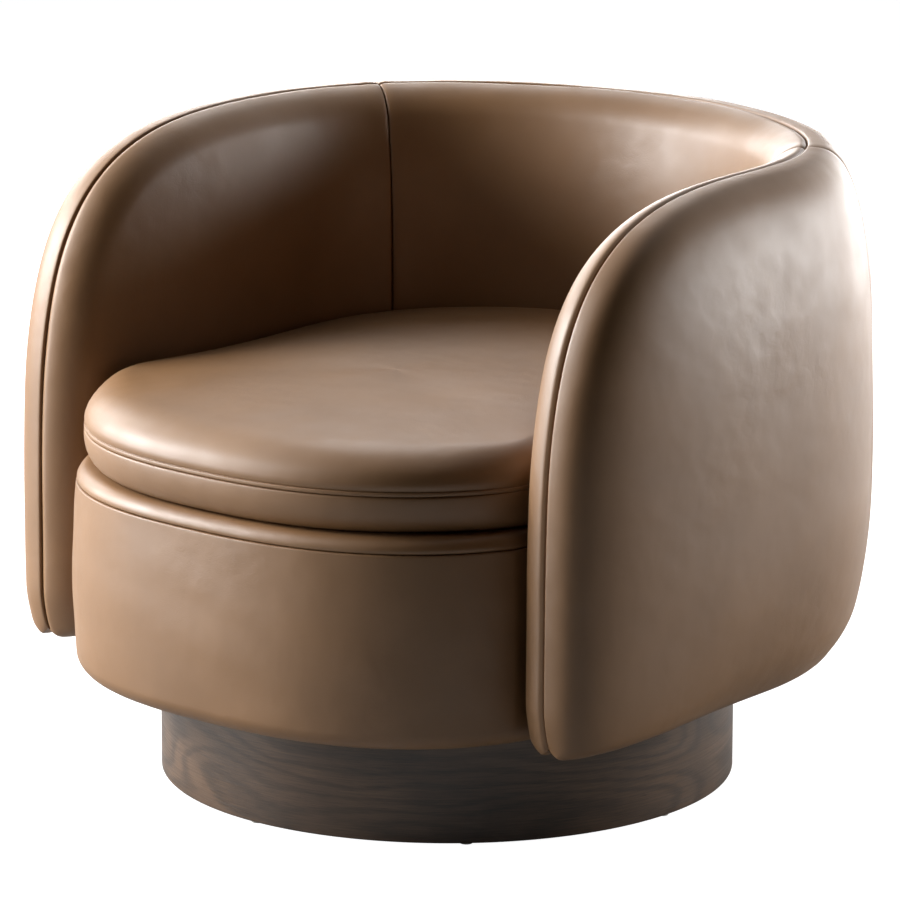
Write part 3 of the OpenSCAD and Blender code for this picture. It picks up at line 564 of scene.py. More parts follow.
def back_columns():
    """Stations across the back, from the right upright seam to the left one."""
    half = upright_steps(BACK_HALF - UPRIGHT_GAP)
    half = half - half[0]
    left = BACK_HALF - UPRIGHT_GAP - half[:-1]
    return np.concatenate([-left, [0.0], left[::-1]])


def top_columns():
    """Stations from the shoulder's end to the left upright seam, for the arm covers."""
    steps = upright_steps(ARM_TOP_L - BACK_HALF - UPRIGHT_GAP)
    steps = steps - steps[0]
    return BACK_HALF + UPRIGHT_GAP + steps[::-1]


def make_back_covers(leather):
    """Inside and outside back: upright columns between the two upright seams."""
    l = back_columns()
    beside = BACK_HALF - UPRIGHT_GAP - np.abs(l) + FIRST_STEP
    inner_rows = inner_profile(np.full(len(l), SHELL_TOP - INNER_Z))
    for node, side, rows, seed in (("inside_back", -1, inner_rows, INSIDE_BACK_SEED),
                                   ("outside_back", 1, upright_outer_rows(l), OUTSIDE_BACK_SEED)):
        front, back = cover_faces(side, *rows, upright_place(l), beside, seed)
        put_wall(node + "_leather", front, back, quads_of(numbers_of(front)), node, leather)


def upright_outer_rows(l):
    """Rows of upright outside columns: down to the shoulder's start, then the foot's heights."""
    full = outer_full(l)
    s, t = outer_profile(np.full(len(l), SHOULDER_H), full)
    low = np.broadcast_to(SHELL_TOP - foot_heights()[-2::-1], (len(l), FOOT_COLS))
    t_low = full[:, None] * swell(low / OUTER_REACH, OUTER_N)
    return np.concatenate([s, low], axis=1), np.concatenate([t, t_low], axis=1)


def make_arm_covers(leather):
    """Inside and outside arm, the left ones from their formulas and the right ones mirrored."""
    top = top_columns()
    top_place = upright_place(top)
    beside_top = top - BACK_HALF - UPRIGHT_GAP + FIRST_STEP
    rays = arm_rays()
    rays_place = ray_place(rays)
    up, pace = rays[1], rays[3]
    beside_rays = np.full(len(pace), SHOULDER_L)

    front_reach = (1 - NOTCH_SHARE) / pace
    down_reach = (1 - (INNER_Z - SHOULDER_Z) / np.maximum(up, 1.0)) / pace
    reach = np.where(up > (INNER_Z - SHOULDER_Z) / NOTCH_SHARE, down_reach, front_reach)
    top_rows = inner_profile(np.full(len(top), SHELL_TOP - INNER_Z))
    on_rays = cover_faces(-1, *inner_profile(reach), rays_place, beside_rays, INSIDE_ARM_SEED)
    on_top = cover_faces(-1, *top_rows, top_place, beside_top, INSIDE_ARM_SEED)
    front, back = (np.concatenate([one, other[1:]]) for one, other in zip(on_rays, on_top))
    put_pair("inside_arm", front, back, quads_of(numbers_of(front)), leather)

    s, t = outer_profile(1 / pace, np.full(len(pace), OUTER_ARM))
    t = t * outer_full(rays_place(s)[0]) / OUTER_ARM
    on_rays = cover_faces(1, s, t, rays_place, beside_rays, OUTSIDE_ARM_SEED)
    on_top = cover_faces(1, *upright_outer_rows(top), top_place, beside_top, OUTSIDE_ARM_SEED)
    rays_grid = numbers_of(on_rays[0])
    top_grid = numbers_of(on_top[0]) + rays_grid.size
    # The rays over the shoulder end in one point, and the first upright column takes the rays' vertices
    rays_grid[FOOT_COLS:, -1] = rays_grid[FOOT_COLS, -1]
    top_grid[0, :rays_grid.shape[1]] = rays_grid[-1]
    top_grid[0, rays_grid.shape[1]:] = rays_grid[FOOT_COLS - 1::-1, -1]
    front, back = (np.concatenate([one.reshape(-1, 3), other.reshape(-1, 3)])
                   for one, other in zip(on_rays, on_top))
    quads = np.concatenate([quads_of(rays_grid), quads_of(top_grid)])
    put_pair("outside_arm", front, back, quads, leather)


def put_pair(name, front, back, quads, leather):
    """The left cover and its mirror image on the right."""
    for side, flip in (("_left", 1.0), ("_right", -1.0)):
        mirror = np.array([flip, 1.0, 1.0])
        node = name + side
        put_wall(node + "_leather", front * mirror, back * mirror, quads, node, leather)


# Outlines of the seat pieces, as a distance from the drum's centre at an angle from the front
CURVE_POINTS = 1500


def round_rho(a, w, d, n):
    """Squared round outline with half sizes w and d: the n-th powers of sine over w and cosine over d
    add up to the distance to the power of minus n."""
    return ((np.abs(np.sin(a)) / w) ** n + (np.abs(np.cos(a)) / d) ** n) ** (-1 / n)


def inside_curve():
    """The inside of the shell at seat height, as angles and distances from the drum's centre."""
    l = np.linspace(0, ARM_END - 1, CURVE_POINTS)
    y = np.interp(l, STATION, PLAN_Y)
    ahead = np.maximum(0, y + ARM_FRONT)
    px, py = plan(l, -(SLIT_HALF + LEATHER_T + inner_thickness(ahead)))
    angle = np.arctan2(px, -(py + DRUM_AHEAD))
    return angle[::-1], np.hypot(px, py + DRUM_AHEAD)[::-1]


INSIDE_ANGLE, INSIDE_RHO = inside_curve()


def seat_rho(a, w, d, n, clear):
    """Outline of a seat piece: its own rounded front, held between the arms and the back. The two
    distances join by their fortieth powers, which rounds the corner between them a little."""
    turned = np.abs((a + np.pi) % (2 * np.pi) - np.pi)
    sideways = w / np.maximum(LEAST_SINE, np.sin(turned))
    ahead = np.where(turned < np.pi / 2, round_rho(turned, w, d, n), sideways)
    held = np.interp(turned, INSIDE_ANGLE, INSIDE_RHO) - clear
    return (ahead ** -JOIN_POWER + held ** -JOIN_POWER) ** (-1 / JOIN_POWER)


def seat_points(a, rho, z):
    """Places at angle a from the front and distance rho from the drum's centre, at height z."""
    return np.stack([rho * np.sin(a), -DRUM_AHEAD - rho * np.cos(a), z], -1)


# Seat pieces: rings of an outline, from the middle of the underside to the middle of the top
SEAT_COLS = 420
MIDDLE = 300.0
PROFILE_STEP = 0.5
PROFILE_SPREAD = 6.0


def rings(x, z, w, d, n, cols=SEAT_COLS):
    """Rings at distance x inside the outline and height z: drawn in while x is small, scaled down to
    the middle beyond that. The shoulder narrows from the front to where the arms hold the piece."""
    a = np.linspace(-np.pi, np.pi, cols, endpoint=False)[:, None]
    held = smooth((np.abs(a) - HELD_FROM) / HELD_RUN)
    narrow = 1 - (1 - SHOULDER_HELD / SHOULDER_IN) * held
    inset = np.minimum(x, SEAM_IN) + np.clip(x - SEAM_IN, 0, SHOULDER_IN - SEAM_IN) * narrow
    share = (MIDDLE - np.maximum(x, SHOULDER_IN))[None, :] / (MIDDLE - SHOULDER_IN)
    rho = seat_rho(a, w - inset, d - inset, n, SEAT_FIT + inset) * share
    return seat_points(np.broadcast_to(a, rho.shape), rho, np.broadcast_to(z, rho.shape))


def ring_faces(cols, rows):
    """Faces of a closed stack of rings whose first and last ring are one vertex each."""
    grid = np.arange(cols * rows).reshape(cols, rows)
    grid = np.concatenate([grid, grid[:1]])
    low = np.stack([np.full(cols, grid[0, 0]), grid[1:, 1], grid[:-1, 1]], -1)
    high = np.stack([np.full(cols, grid[0, -1]), grid[:-1, -2], grid[1:, -2]], -1)
    return quads_of(grid[:, 1:-1]), np.concatenate([low, high])


def put_rings(name, points, node, material):
    """A closed padded piece from its rings."""
    quads, tris = ring_faces(*points.shape[:2])
    piece = put(name, points.reshape(-1, 3), quads, tris, node, "seat", material)
    return piece


def softened(x, z, spread):
    """A profile at even steps of its length, smoothed by a bell-shaped mean over its neighbours; its
    two ends stay. Returns the lengths and the new x and z."""
    length = np.concatenate([[0.0], np.cumsum(np.hypot(np.diff(x), np.diff(z)))])
    even = np.arange(0, length[-1], PROFILE_STEP)
    reach = int(3 * spread / PROFILE_STEP)
    weight = bell(np.arange(-reach, reach + 1) * PROFILE_STEP, spread)
    weight /= weight.sum()

    def mean(line):
        fine = np.interp(even, length, line)
        before = 2 * fine[0] - fine[reach:0:-1]
        after = 2 * fine[-1] - fine[-2:-reach - 2:-1]
        return np.convolve(np.concatenate([before, fine, after]), weight, mode="valid")

    return even, mean(x), mean(z)


# The cushion's side view and its rows; the two sewn lines between band and shoulder take fine ones
TURN_POINTS = 40
CROWN_POINTS = 120
CUSHION_STEP = 6.0
RISING_END = 0.6
LINE_FIRST = 0.12
LINE_FINE = 9.0
LINE_COUNT = 15
LINE_CLEAR = 12.0

# The sewn lines: depth and width of the slit, depth and width of the roll beside it
LOWER_LINE = (3.4, 0.42, 0.4, 2.2)
UPPER_LINE = (1.5, 0.45, 1.3, 4.0)
PINCH = 1.2
PINCH_WIDTH = 12.0


def cushion_outline(crown):
    """The cushion's side view as x inside the outline and height z: flat underside, tucked-in band,
    the strip between the two sewn lines, a quarter ellipse for the shoulder, a dome for the crown."""
    turn = np.linspace(0, np.pi / 2, TURN_POINTS)
    seam = CUSHION_Z + BAND_H
    band_x = BAND_TUCK + (SEAM_IN - BAND_TUCK) * np.sin(turn)
    band_z = CUSHION_Z + BAND_H * (1 - np.cos(turn))
    shoulder_x = SEAM_IN + (SHOULDER_IN - SEAM_IN) * (1 - np.cos(turn))
    shoulder_z = seam + SEAM_GAP + SHOULDER_RISE * np.sin(turn)
    inwards = np.linspace(0, 1, CROWN_POINTS)[1:]
    crown_x = SHOULDER_IN + (MIDDLE - SHOULDER_IN) * inwards
    crown_z = seam + SEAM_GAP + SHOULDER_RISE + crown * dome(inwards)
    x = np.concatenate([[MIDDLE], band_x, shoulder_x, crown_x])
    z = np.concatenate([[CUSHION_Z], band_z, shoulder_z, crown_z])
    return softened(x, z, PROFILE_SPREAD)


def cushion_rows(length, z):
    """Stations of the cushion's rings along its side view: fine beside the two sewn lines, even
    elsewhere. Returns the stations and the two lines' stations."""
    rising = slice(int(MIDDLE / PROFILE_STEP / 2), int(RISING_END * len(length)))
    seam = CUSHION_Z + BAND_H
    low = np.interp(seam, z[rising], length[rising])
    high = np.interp(seam + SEAM_GAP, z[rising], length[rising])
    fine = np.geomspace(LINE_FIRST, LINE_FINE, LINE_COUNT)
    between = fine[fine < (high - low) / 2]
    even = np.arange(0, length[-1], CUSHION_STEP)
    even = even[(even < low - LINE_CLEAR) | (even > high + LINE_CLEAR)]
    rows = np.sort(np.concatenate([even, [length[-1]], low - fine, low + between, high - between,
                                   high + fine, [(low + high) / 2]]))
    return rows, low, high


def sewn_line(away, slit, slit_width, roll, roll_width):
    """Depth of a sewn line at a distance away from it: a slit to both sides, and a soft roll where the
    distance is above nothing."""
    soft = np.where(away > 0, roll, 0.0) * bell(away, roll_width)
    return slit * np.exp(-np.abs(away) / slit_width) + soft


def cushion_seams(v, low, high):
    """Depth of the cushion's seam at station v: two sewn lines, the lower one deeper with a crisp edge
    below it, the upper one with a soft roll above it, both in a shallow pinch."""
    pinch = PINCH * bell(v - (low + high) / 2, PINCH_WIDTH)
    return sewn_line(low - v, *LOWER_LINE) + sewn_line(v - high, *UPPER_LINE) + pinch


# The cushion's cover is blown up as cloth on a coarse set of rings, then carried over to the fine one
CLOTH_COLS = 96
CLOTH_ROWS = 34
CLOTH_STEPS = 20
CLOTH_CAP = 12.0
CLOTH_PRESSURE = 0.25
CLOTH_RISE = 8.0
UNDER_HELD = 14.0
UNDER_RUN = 12.0
SEAM_HELD = 0.6
SEAM_NEAR = 6.0


def spline_weights(at, count, closed):
    """Matrix that carries values at whole numbers to places between them: the uniform cubic B-spline,
    smooth and without overshoot, round a loop where it is closed."""
    base = np.floor(at).astype(int)
    f = at - base
    parts = ((1 - f) ** 3, 3 * f ** 3 - 6 * f ** 2 + 4, -3 * f ** 3 + 3 * f ** 2 + 3 * f + 1, f ** 3)
    weights = np.zeros((len(at), count))
    for k, part in enumerate(parts):
        index = base + k - 1
        index = index % count if closed else np.clip(index, 0, count - 1)
        np.add.at(weights, (np.arange(len(at)), index), part / 6)
    return weights


def blown_up(points, held):
    """How far each point of a closed stack of rings moves when its cover is cloth under pressure, in
    millimetres: weightless, elastic and held in place by the given share at each point."""
    quads, tris = ring_faces(*points.shape[:2])
    flat = points.reshape(-1, 3)
    used, index = np.unique(np.concatenate([quads.reshape(-1), tris.reshape(-1)]), return_inverse=True)
    index = index.reshape(-1)
    faces = index[:quads.size].reshape(-1, 4).tolist() + index[quads.size:].reshape(-1, 3).tolist()
    mesh = bpy.data.meshes.new("cushion_cloth")
    mesh.from_pydata((flat[used] * MM).tolist(), [], faces)
    cover = bpy.data.objects.new("cushion_cloth", mesh)
    bpy.context.scene.collection.objects.link(cover)
    group = cover.vertex_groups.new(name="held")
    for vertex, share in enumerate(held.reshape(-1)[used].tolist()):
        group.add([vertex], share, "REPLACE")
    cloth = cover.modifiers.new("cover", "CLOTH")
    settings = cloth.settings
    settings.quality = 6
    settings.mass = 0.5
    settings.tension_stiffness = 30.0
    settings.compression_stiffness = 30.0
    settings.shear_stiffness = 12.0
    settings.bending_stiffness = 3.0
    settings.air_damping = 3.0
    settings.use_pressure = True
    settings.uniform_pressure_force = CLOTH_PRESSURE
    settings.effector_weights.gravity = 0.0
    settings.vertex_group_mass = "held"
    settings.pin_stiffness = 1.5
    cloth.point_cache.frame_start = 1
    cloth.point_cache.frame_end = CLOTH_STEPS
    scene = bpy.context.scene
    for step in range(1, CLOTH_STEPS + 1):
        scene.frame_set(step)
    blown = cover.evaluated_get(bpy.context.evaluated_depsgraph_get()).data
    after = np.empty(len(used) * 3)
    blown.vertices.foreach_get("co", after)
    moved = np.zeros_like(flat)
    moved[used] = after.reshape(-1, 3) / MM - flat[used]
    moved = moved.reshape(points.shape)
    moved[:, 0] = moved[0, 0]
    moved[:, -1] = moved[0, -1]
    bpy.data.objects.remove(cover)
    bpy.data.meshes.remove(mesh)
    scene.frame_set(1)
    length = np.linalg.norm(moved, axis=-1, keepdims=True)
    return moved * np.minimum(1, CLOTH_CAP / np.maximum(length, 1e-9))


def cushion_fullness(length, x, z, v):
    """Movement of the cushion's fine rings, from cloth on coarse ones. The underside is held where it
    lies on the deck, and the seam pulls in."""
    cols = np.arange(SEAT_COLS) * CLOTH_COLS / SEAT_COLS
    coarse = np.linspace(0, length[-1], CLOTH_ROWS)
    cx = np.interp(coarse, length, x)
    cz = np.interp(coarse, length, z)
    points = risen(rings(cx, cz, CUSHION_W, CUSHION_D, CUSHION_N, CLOTH_COLS))
    under = smooth((CUSHION_Z + UNDER_HELD - cz) / UNDER_RUN)
    seam = bell(cz - CUSHION_Z - BAND_H - SEAM_GAP / 2, SEAM_NEAR) * (cx < BAND_TUCK)
    held = np.broadcast_to(np.clip(under + SEAM_HELD * seam, 0, 1), points.shape[:2])
    moved = blown_up(points, held)
    rows = v / length[-1] * (CLOTH_ROWS - 1)
    across = spline_weights(cols, CLOTH_COLS, True)
    along = spline_weights(rows, CLOTH_ROWS, False)
    return np.einsum("ic,crk,jr->ijk", across, moved, along)


def risen(points):
    """Lifts the cushion's upper side towards the back, by a power of the distance from where the rise
    starts."""
    above = np.clip((points[..., 2] - CUSHION_Z - BAND_H - SEAM_GAP) / SHOULDER_RISE, 0, 1)
    along = np.clip((points[..., 1] - RISE_START) / RISE_RUN, 0, RISE_END)
    lift = REAR_RISE * along ** RISE_BEND * above
    return points + np.stack([0 * lift, 0 * lift, lift], -1)


def between_arms(points):
    """Holds the cushion's points inside the arms and the back, where it lies flat against them."""
    x, y = points[..., 0], points[..., 1] + DRUM_AHEAD
    rho = np.hypot(x, y)
    turned = np.arctan2(np.abs(x), -y)
    limit = np.interp(turned, INSIDE_ANGLE, INSIDE_RHO) - ARM_CLEAR
    share = np.minimum(1, limit / np.maximum(rho, 1.0))
    return np.stack([x * share, y * share - DRUM_AHEAD, points[..., 2]], -1)


def make_cushion(leather):
    """The loose cushion: rings of its side view, blown up, sunk along the sewn lines."""
    length, side_x, side_z = cushion_outline(CROWN - CLOTH_RISE)
    v, low, high = cushion_rows(length, side_z)
    x, z = np.interp(v, length, side_x), np.interp(v, length, side_z)
    dx, dz = np.gradient(x), np.gradient(z)
    size = np.hypot(dx, dz)
    depth = cushion_seams(v, low, high)
    points = risen(rings(x + depth * dz / size, z - depth * dx / size, CUSHION_W, CUSHION_D, CUSHION_N))
    points = points + cushion_fullness(length, side_x, side_z, v)
    points[..., 2] = np.maximum(points[..., 2], CUSHION_Z)
    points = between_arms(points)
    return put_rings("seat_cushion_leather", points, "seat_cushion", leather)


# Deck pad
DECK_TURNS = 8
DECK_ROWS = 39
DECK_BESIDE = 3.0


def make_deck(leather):
    """The deck pad: flat below and on top, with a soft edge that rolls into the drum's seam."""
    along = fine_then_even(SEAM_FINE, DECK_ROLL * np.pi / 2, DECK_TURNS)
    turn = along / DECK_ROLL
    depth = DECK_GROOVE * soft_groove(along)
    roll_x = DECK_ROLL * (1 - np.cos(turn)) + depth * np.cos(turn)
    roll_z = DECK_Z + DECK_ROLL * np.sin(turn) - depth * np.sin(turn)
    under = [MIDDLE, 2 * SHOULDER_IN, GROOVE_BACK + DECK_BESIDE]
    inwards = np.linspace(DECK_ROLL, MIDDLE, DECK_ROWS + 1)[1:]
    x = np.concatenate([under, roll_x, inwards])
    z = np.concatenate([np.full(len(under), DECK_Z), roll_z, np.full(DECK_ROWS, DECK_TOP)])
    points = rings(x, z, DRUM_W, DRUM_D, DRUM_N)
    return put_rings("deck_pad_leather", points, "deck_pad", leather)


# Drum apron
APRON_COLS = 260
APRON_ROWS = 30
APRON_TURNS = 15
APRON_RIPPLE = 90.0
APRON_SEED = 31


def apron_inset(z):
    """How far the apron lies inside the drum's outline: a round lower edge less a gentle bulge."""
    h = z - DRUM_Z
    bulge = APRON_BULGE * np.sin(np.pi * h / (APRON_TOP - DRUM_Z))
    return APRON_ROUND * (1 - swell(h / APRON_ROUND)) - bulge


def make_apron(leather):
    """The drum's upholstered front, from the seam under the deck down to its round lower edge."""
    w, d = DRUM_W - APRON_T, DRUM_D - APRON_T
    ahead = -(APRON_END_Y + DRUM_AHEAD)
    end = np.arctan2(w * (1 - (ahead / d) ** DRUM_N) ** (1 / DRUM_N), ahead)
    a = np.linspace(-end, end, APRON_COLS)[:, None]
    below = fine_then_even(SEAM_FINE, APRON_TOP - DRUM_Z - APRON_ROUND, APRON_ROWS)
    turn = np.linspace(np.pi / 2, 0, APRON_TURNS + 1)[1:]
    z = np.concatenate([APRON_TOP - below, DRUM_Z + APRON_ROUND * (1 - np.cos(turn))])
    plain = round_rho(a, DRUM_W, DRUM_D, DRUM_N)
    x, y = plain * np.sin(a), -DRUM_AHEAD - plain * np.cos(a)
    ripple = RIPPLE * waves(x, y + 2 * z, APRON_RIPPLE, APRON_SEED) * smooth((z - DRUM_Z) / APRON_ROUND)
    e = apron_inset(z) + crisp_groove(APRON_TOP - z) * APRON_GROOVE + ripple
    rho = seat_rho(a, DRUM_W - e, DRUM_D - e, DRUM_N, SEAT_FIT)
    aa = np.broadcast_to(a, rho.shape)
    zz = np.broadcast_to(z, rho.shape)
    front = seat_points(aa, rho, zz)
    back = seat_points(aa, round_rho(aa, w, d, DRUM_N), zz)
    quads = quads_of(numbers_of(front))
    return put_wall("drum_apron_leather", front, back, quads, "drum_apron", leather)


# Plinth hoop: the radii of its eased outer edges, and the rows beside the edges that keep faces flat
HOOP_WALL = 15.0
HOOP_EASE = 2.0
HOOP_TOP_EASE = 1.0
HOOP_BESIDE = 1.0
HOOP_TURN = 6
HOOP_COLS = 360


def make_hoop(veneer):
    """The plinth's bent hoop: a rectangle with eased outer edges, turned round the swivel axis."""
    turn = np.linspace(0, np.pi / 2, HOOP_TURN)
    low_r = HOOP_R - HOOP_EASE + HOOP_EASE * np.sin(turn)
    low_z = HOOP_Z + HOOP_EASE - HOOP_EASE * np.cos(turn)
    top_r = HOOP_R - HOOP_TOP_EASE + HOOP_TOP_EASE * np.cos(turn)
    top_z = HOOP_TOP - HOOP_TOP_EASE + HOOP_TOP_EASE * np.sin(turn)
    inner = HOOP_R - HOOP_WALL
    near_low = HOOP_EASE + HOOP_BESIDE
    near_top = HOOP_TOP_EASE + HOOP_BESIDE
    r = np.concatenate([[inner, inner + HOOP_BESIDE, HOOP_R - near_low], low_r,
                        [HOOP_R, HOOP_R], top_r,
                        [HOOP_R - near_top, inner + HOOP_BESIDE, inner, inner, inner]])
    z = np.concatenate([[HOOP_Z, HOOP_Z, HOOP_Z], low_z,
                        [HOOP_Z + near_low, HOOP_TOP - near_top], top_z,
                        [HOOP_TOP, HOOP_TOP, HOOP_TOP, HOOP_TOP - HOOP_BESIDE, HOOP_Z + HOOP_BESIDE]])
    a = np.linspace(0, 2 * np.pi, HOOP_COLS, endpoint=False)[:, None]
    points = np.stack([r * np.sin(a), -r * np.cos(a), np.broadcast_to(z, (HOOP_COLS, len(z)))], -1)
    grid = numbers_of(points)
    grid = np.concatenate([grid, grid[:1]])
    grid = np.concatenate([grid, grid[:, :1]], axis=1)
    none = np.zeros((0, 3), int)
    return put("plinth_hoop_veneer", points.reshape(-1, 3), quads_of(grid), none, "plinth_hoop", "base",
               veneer)


# Materials
class Tree:
    """Short names for the nodes of one shader tree."""

    def __init__(self, tree):
        self.tree = tree
        self.new = tree.nodes.new

    def link(self, value, socket):
        """Joins an output to a socket, or sets the socket to a plain value."""
        if isinstance(value, bpy.types.NodeSocket):
            self.tree.links.new(value, socket)
        else:
            socket.default_value = value

    def math(self, operation, *values):
        """A Math node over outputs or numbers."""
        node = self.new("ShaderNodeMath")
        node.operation = operation
        for value, socket in zip(values, node.inputs):
            self.link(value, socket)
        return node.outputs[0]

    def span(self, value, low, high, to_low=0.0, to_high=1.0, kind="LINEAR"):
        """Maps low..high to another range, held at its ends."""
        node = self.new("ShaderNodeMapRange")
        node.interpolation_type = kind
        for number, socket in zip((low, high, to_low, to_high), list(node.inputs)[1:5]):
            socket.default_value = number
        self.link(value, node.inputs["Value"])
        return node.outputs["Result"]


class Graph(Tree):
    """The nodes of one material, all placed on Object coordinates."""

    def __init__(self, name, roughness=0.5, metallic=0.0, specular=0.5):
        self.material = bpy.data.materials.new(name)
        self.material.use_nodes = True
        super().__init__(self.material.node_tree)
        self.shader = self.tree.nodes["Principled BSDF"]
        self.shader.inputs["Roughness"].default_value = roughness
        self.shader.inputs["Metallic"].default_value = metallic
        self.shader.inputs["Specular IOR Level"].default_value = specular
        self.place = self.new("ShaderNodeTexCoord").outputs["Object"]

    def noise(self, scale, detail=3.0, place=None, roughness=0.5, distortion=0.0):
        """Noise from nothing to one, at a scale in features to the metre."""
        node = self.new("ShaderNodeTexNoise")
        node.inputs["Scale"].default_value = scale
        node.inputs["Detail"].default_value = detail
        node.inputs["Roughness"].default_value = roughness
        node.inputs["Distortion"].default_value = distortion
        self.link(place or self.place, node.inputs["Vector"])
        return node.outputs["Fac"]

    def grain(self, scale, detail=3.0, place=None, roughness=0.5):
        """Noise stretched by a scale for each axis, in features to the metre."""
        node = self.new("ShaderNodeMapping")
        node.inputs["Scale"].default_value = scale
        self.link(place or self.place, node.inputs["Vector"])
        return self.noise(1.0, detail, node.outputs[0], roughness)

    def cells(self, scale):
        """Distance inside the cells of a Voronoi pattern."""
        node = self.new("ShaderNodeTexVoronoi")
        node.feature = "SMOOTH_F1"
        node.inputs["Scale"].default_value = scale
        self.link(self.place, node.inputs["Vector"])
        return node.outputs["Distance"]

    def mix(self, share, low, high):
        """Colour between low and high by share."""
        node = self.new("ShaderNodeMix")
        node.data_type = "RGBA"
        self.link(share, node.inputs["Factor"])
        self.link(low, node.inputs["A"])
        self.link(high, node.inputs["B"])
        return node.outputs["Result"]

    def bump(self, height, distance, strength):
        """Adds a bump of the given depth in metres on top of the earlier ones."""
        node = self.new("ShaderNodeBump")
        node.inputs["Distance"].default_value = distance
        node.inputs["Strength"].default_value = strength
        self.link(height, node.inputs["Height"])
        normal = self.shader.inputs["Normal"]
        if normal.links:
            self.link(normal.links[0].from_socket, node.inputs["Normal"])
        self.link(node.outputs["Normal"], normal)

    def colour(self, value):
        """Sets the shader's base colour."""
        self.link(value, self.shader.inputs["Base Color"])

    def rough(self, value):
        """Sets the shader's roughness."""
        self.link(value, self.shader.inputs["Roughness"])


def rgb(red, green, blue):
    """A colour written as it shows on a screen, from 0 to 255, in linear light."""
    c = np.array([red, green, blue]) / 255
    linear = np.where(c <= 0.04045, c / 12.92, ((c + 0.055) / 1.055) ** 2.4)
    return (*linear.tolist(), 1.0)


LEATHER_LIGHT = rgb(128, 93, 58)
LEATHER_DARK = rgb(117, 84, 51)
LEATHER_PORE = rgb(84, 55, 31)
LEATHER_GLOSS = 0.46
VENEER_LIGHT = rgb(104, 80, 60)
VENEER_MID = rgb(47, 34, 24)
VENEER_DARK = rgb(25, 19, 14)
VENEER_PORE = rgb(17, 13, 11)
RING_PITCH = 190.0
RING_SWAY = 95.0
RING_EDGE = 3.2
BIRCH_LIGHT = rgb(223, 199, 160)
BIRCH_DARK = rgb(208, 180, 138)
BIRCH_FIBRE = rgb(184, 150, 108)
NYLON_LIGHT = rgb(206, 203, 195)
NYLON_DARK = rgb(190, 187, 178)


def leather_material():
    """Smooth semi-aniline leather: slow cloudy mottling, a fine pebbled grain with pores, soft hammered
    dents and, in patches, fine creases."""
    g = Graph("leather_tan", specular=0.68)
    cloud = g.noise(7.0, detail=4.0)
    patch = g.span(g.noise(5.0, detail=2.0), 0.5, 0.68)
    base = g.mix(g.span(cloud, 0.3, 0.7), LEATHER_DARK, LEATHER_LIGHT)
    pores = g.noise(1500.0, detail=2.0)
    g.colour(g.mix(g.span(pores, 0.62, 0.75, 0.0, 0.22), base, LEATHER_PORE))
    g.rough(g.span(g.noise(22.0, detail=3.0), 0.3, 0.7, LEATHER_GLOSS, LEATHER_GLOSS + 0.07))
    g.bump(g.noise(14.0, detail=2.0), 0.004, 0.16)
    dents = g.span(g.noise(40.0, detail=1.0, roughness=0.3), 0.35, 0.65)
    g.bump(g.math("MULTIPLY", dents, g.span(patch, 0.0, 1.0, 0.35, 1.0)), 0.0005, 0.6)
    g.bump(g.noise(150.0, detail=2.0, roughness=0.5), 0.0004, 0.08)
    crease = g.noise(48.0, detail=4.0, roughness=0.6, distortion=1.6)
    fold = g.math("ABSOLUTE", g.math("SUBTRACT", crease, 0.5))
    g.bump(g.math("MULTIPLY", g.span(fold, 0.0, 0.035, 0.0, 1.0), patch), 0.0006, 0.10)
    g.bump(g.cells(950.0), 0.00012, 0.3)
    g.bump(pores, 0.0001, 0.2)
    return g.material


def veneer_material():
    """Dark stained oak veneer with its grain round the hoop. Contour lines of a slow stretched noise
    make the growth rings and their arches; fibres and short pores lie along the grain."""
    g = Graph("oak_veneer_dark", specular=0.7)
    parts = g.new("ShaderNodeSeparateXYZ")
    g.link(g.place, parts.inputs[0])
    ahead = g.math("MULTIPLY", parts.outputs[1], -1.0)
    along = g.math("MULTIPLY", g.math("ARCTAN2", parts.outputs[0], ahead), HOOP_R * MM)
    sheet = g.new("ShaderNodeCombineXYZ")
    g.link(along, sheet.inputs[0])
    g.link(parts.outputs[2], sheet.inputs[1])
    place = sheet.outputs[0]
    field = g.grain((2.4, 9.0, 1.0), 2.0, place, 0.35)
    height = g.math("MULTIPLY", parts.outputs[2], RING_PITCH)
    edge = g.grain((26.0, 420.0, 1.0), 3.0, place)
    turns = g.math("ADD", g.math("MULTIPLY", field, RING_SWAY), g.math("MULTIPLY", edge, RING_EDGE))
    growth = g.math("SINE", g.math("ADD", turns, height))
    late = g.span(growth, -0.2, 1.0, 0.0, 0.6)
    fibre = g.grain((11.0, 560.0, 1.0), 4.0, place, 0.6)
    fine = g.grain((30.0, 1500.0, 1.0), 3.0, place, 0.6)
    pores = g.grain((55.0, 2300.0, 1.0), 2.0, place)
    cloud = g.grain((7.0, 16.0, 1.0), 2.0, place)
    base = g.mix(g.span(cloud, 0.3, 0.7), VENEER_MID, VENEER_LIGHT)
    ringed = g.mix(late, base, VENEER_DARK)
    fibred = g.mix(g.span(fibre, 0.38, 0.68, 0.0, 0.5), ringed, VENEER_DARK)
    combed = g.mix(g.span(fine, 0.35, 0.65, 0.0, 0.35), fibred, VENEER_LIGHT)
    g.colour(g.mix(g.span(pores, 0.6, 0.7, 0.0, 0.6), combed, VENEER_PORE))
    g.rough(g.span(fibre, 0.3, 0.7, 0.3, 0.42))
    g.bump(pores, 0.0004, 0.25)
    g.bump(fibre, 0.0003, 0.15)
    return g.material


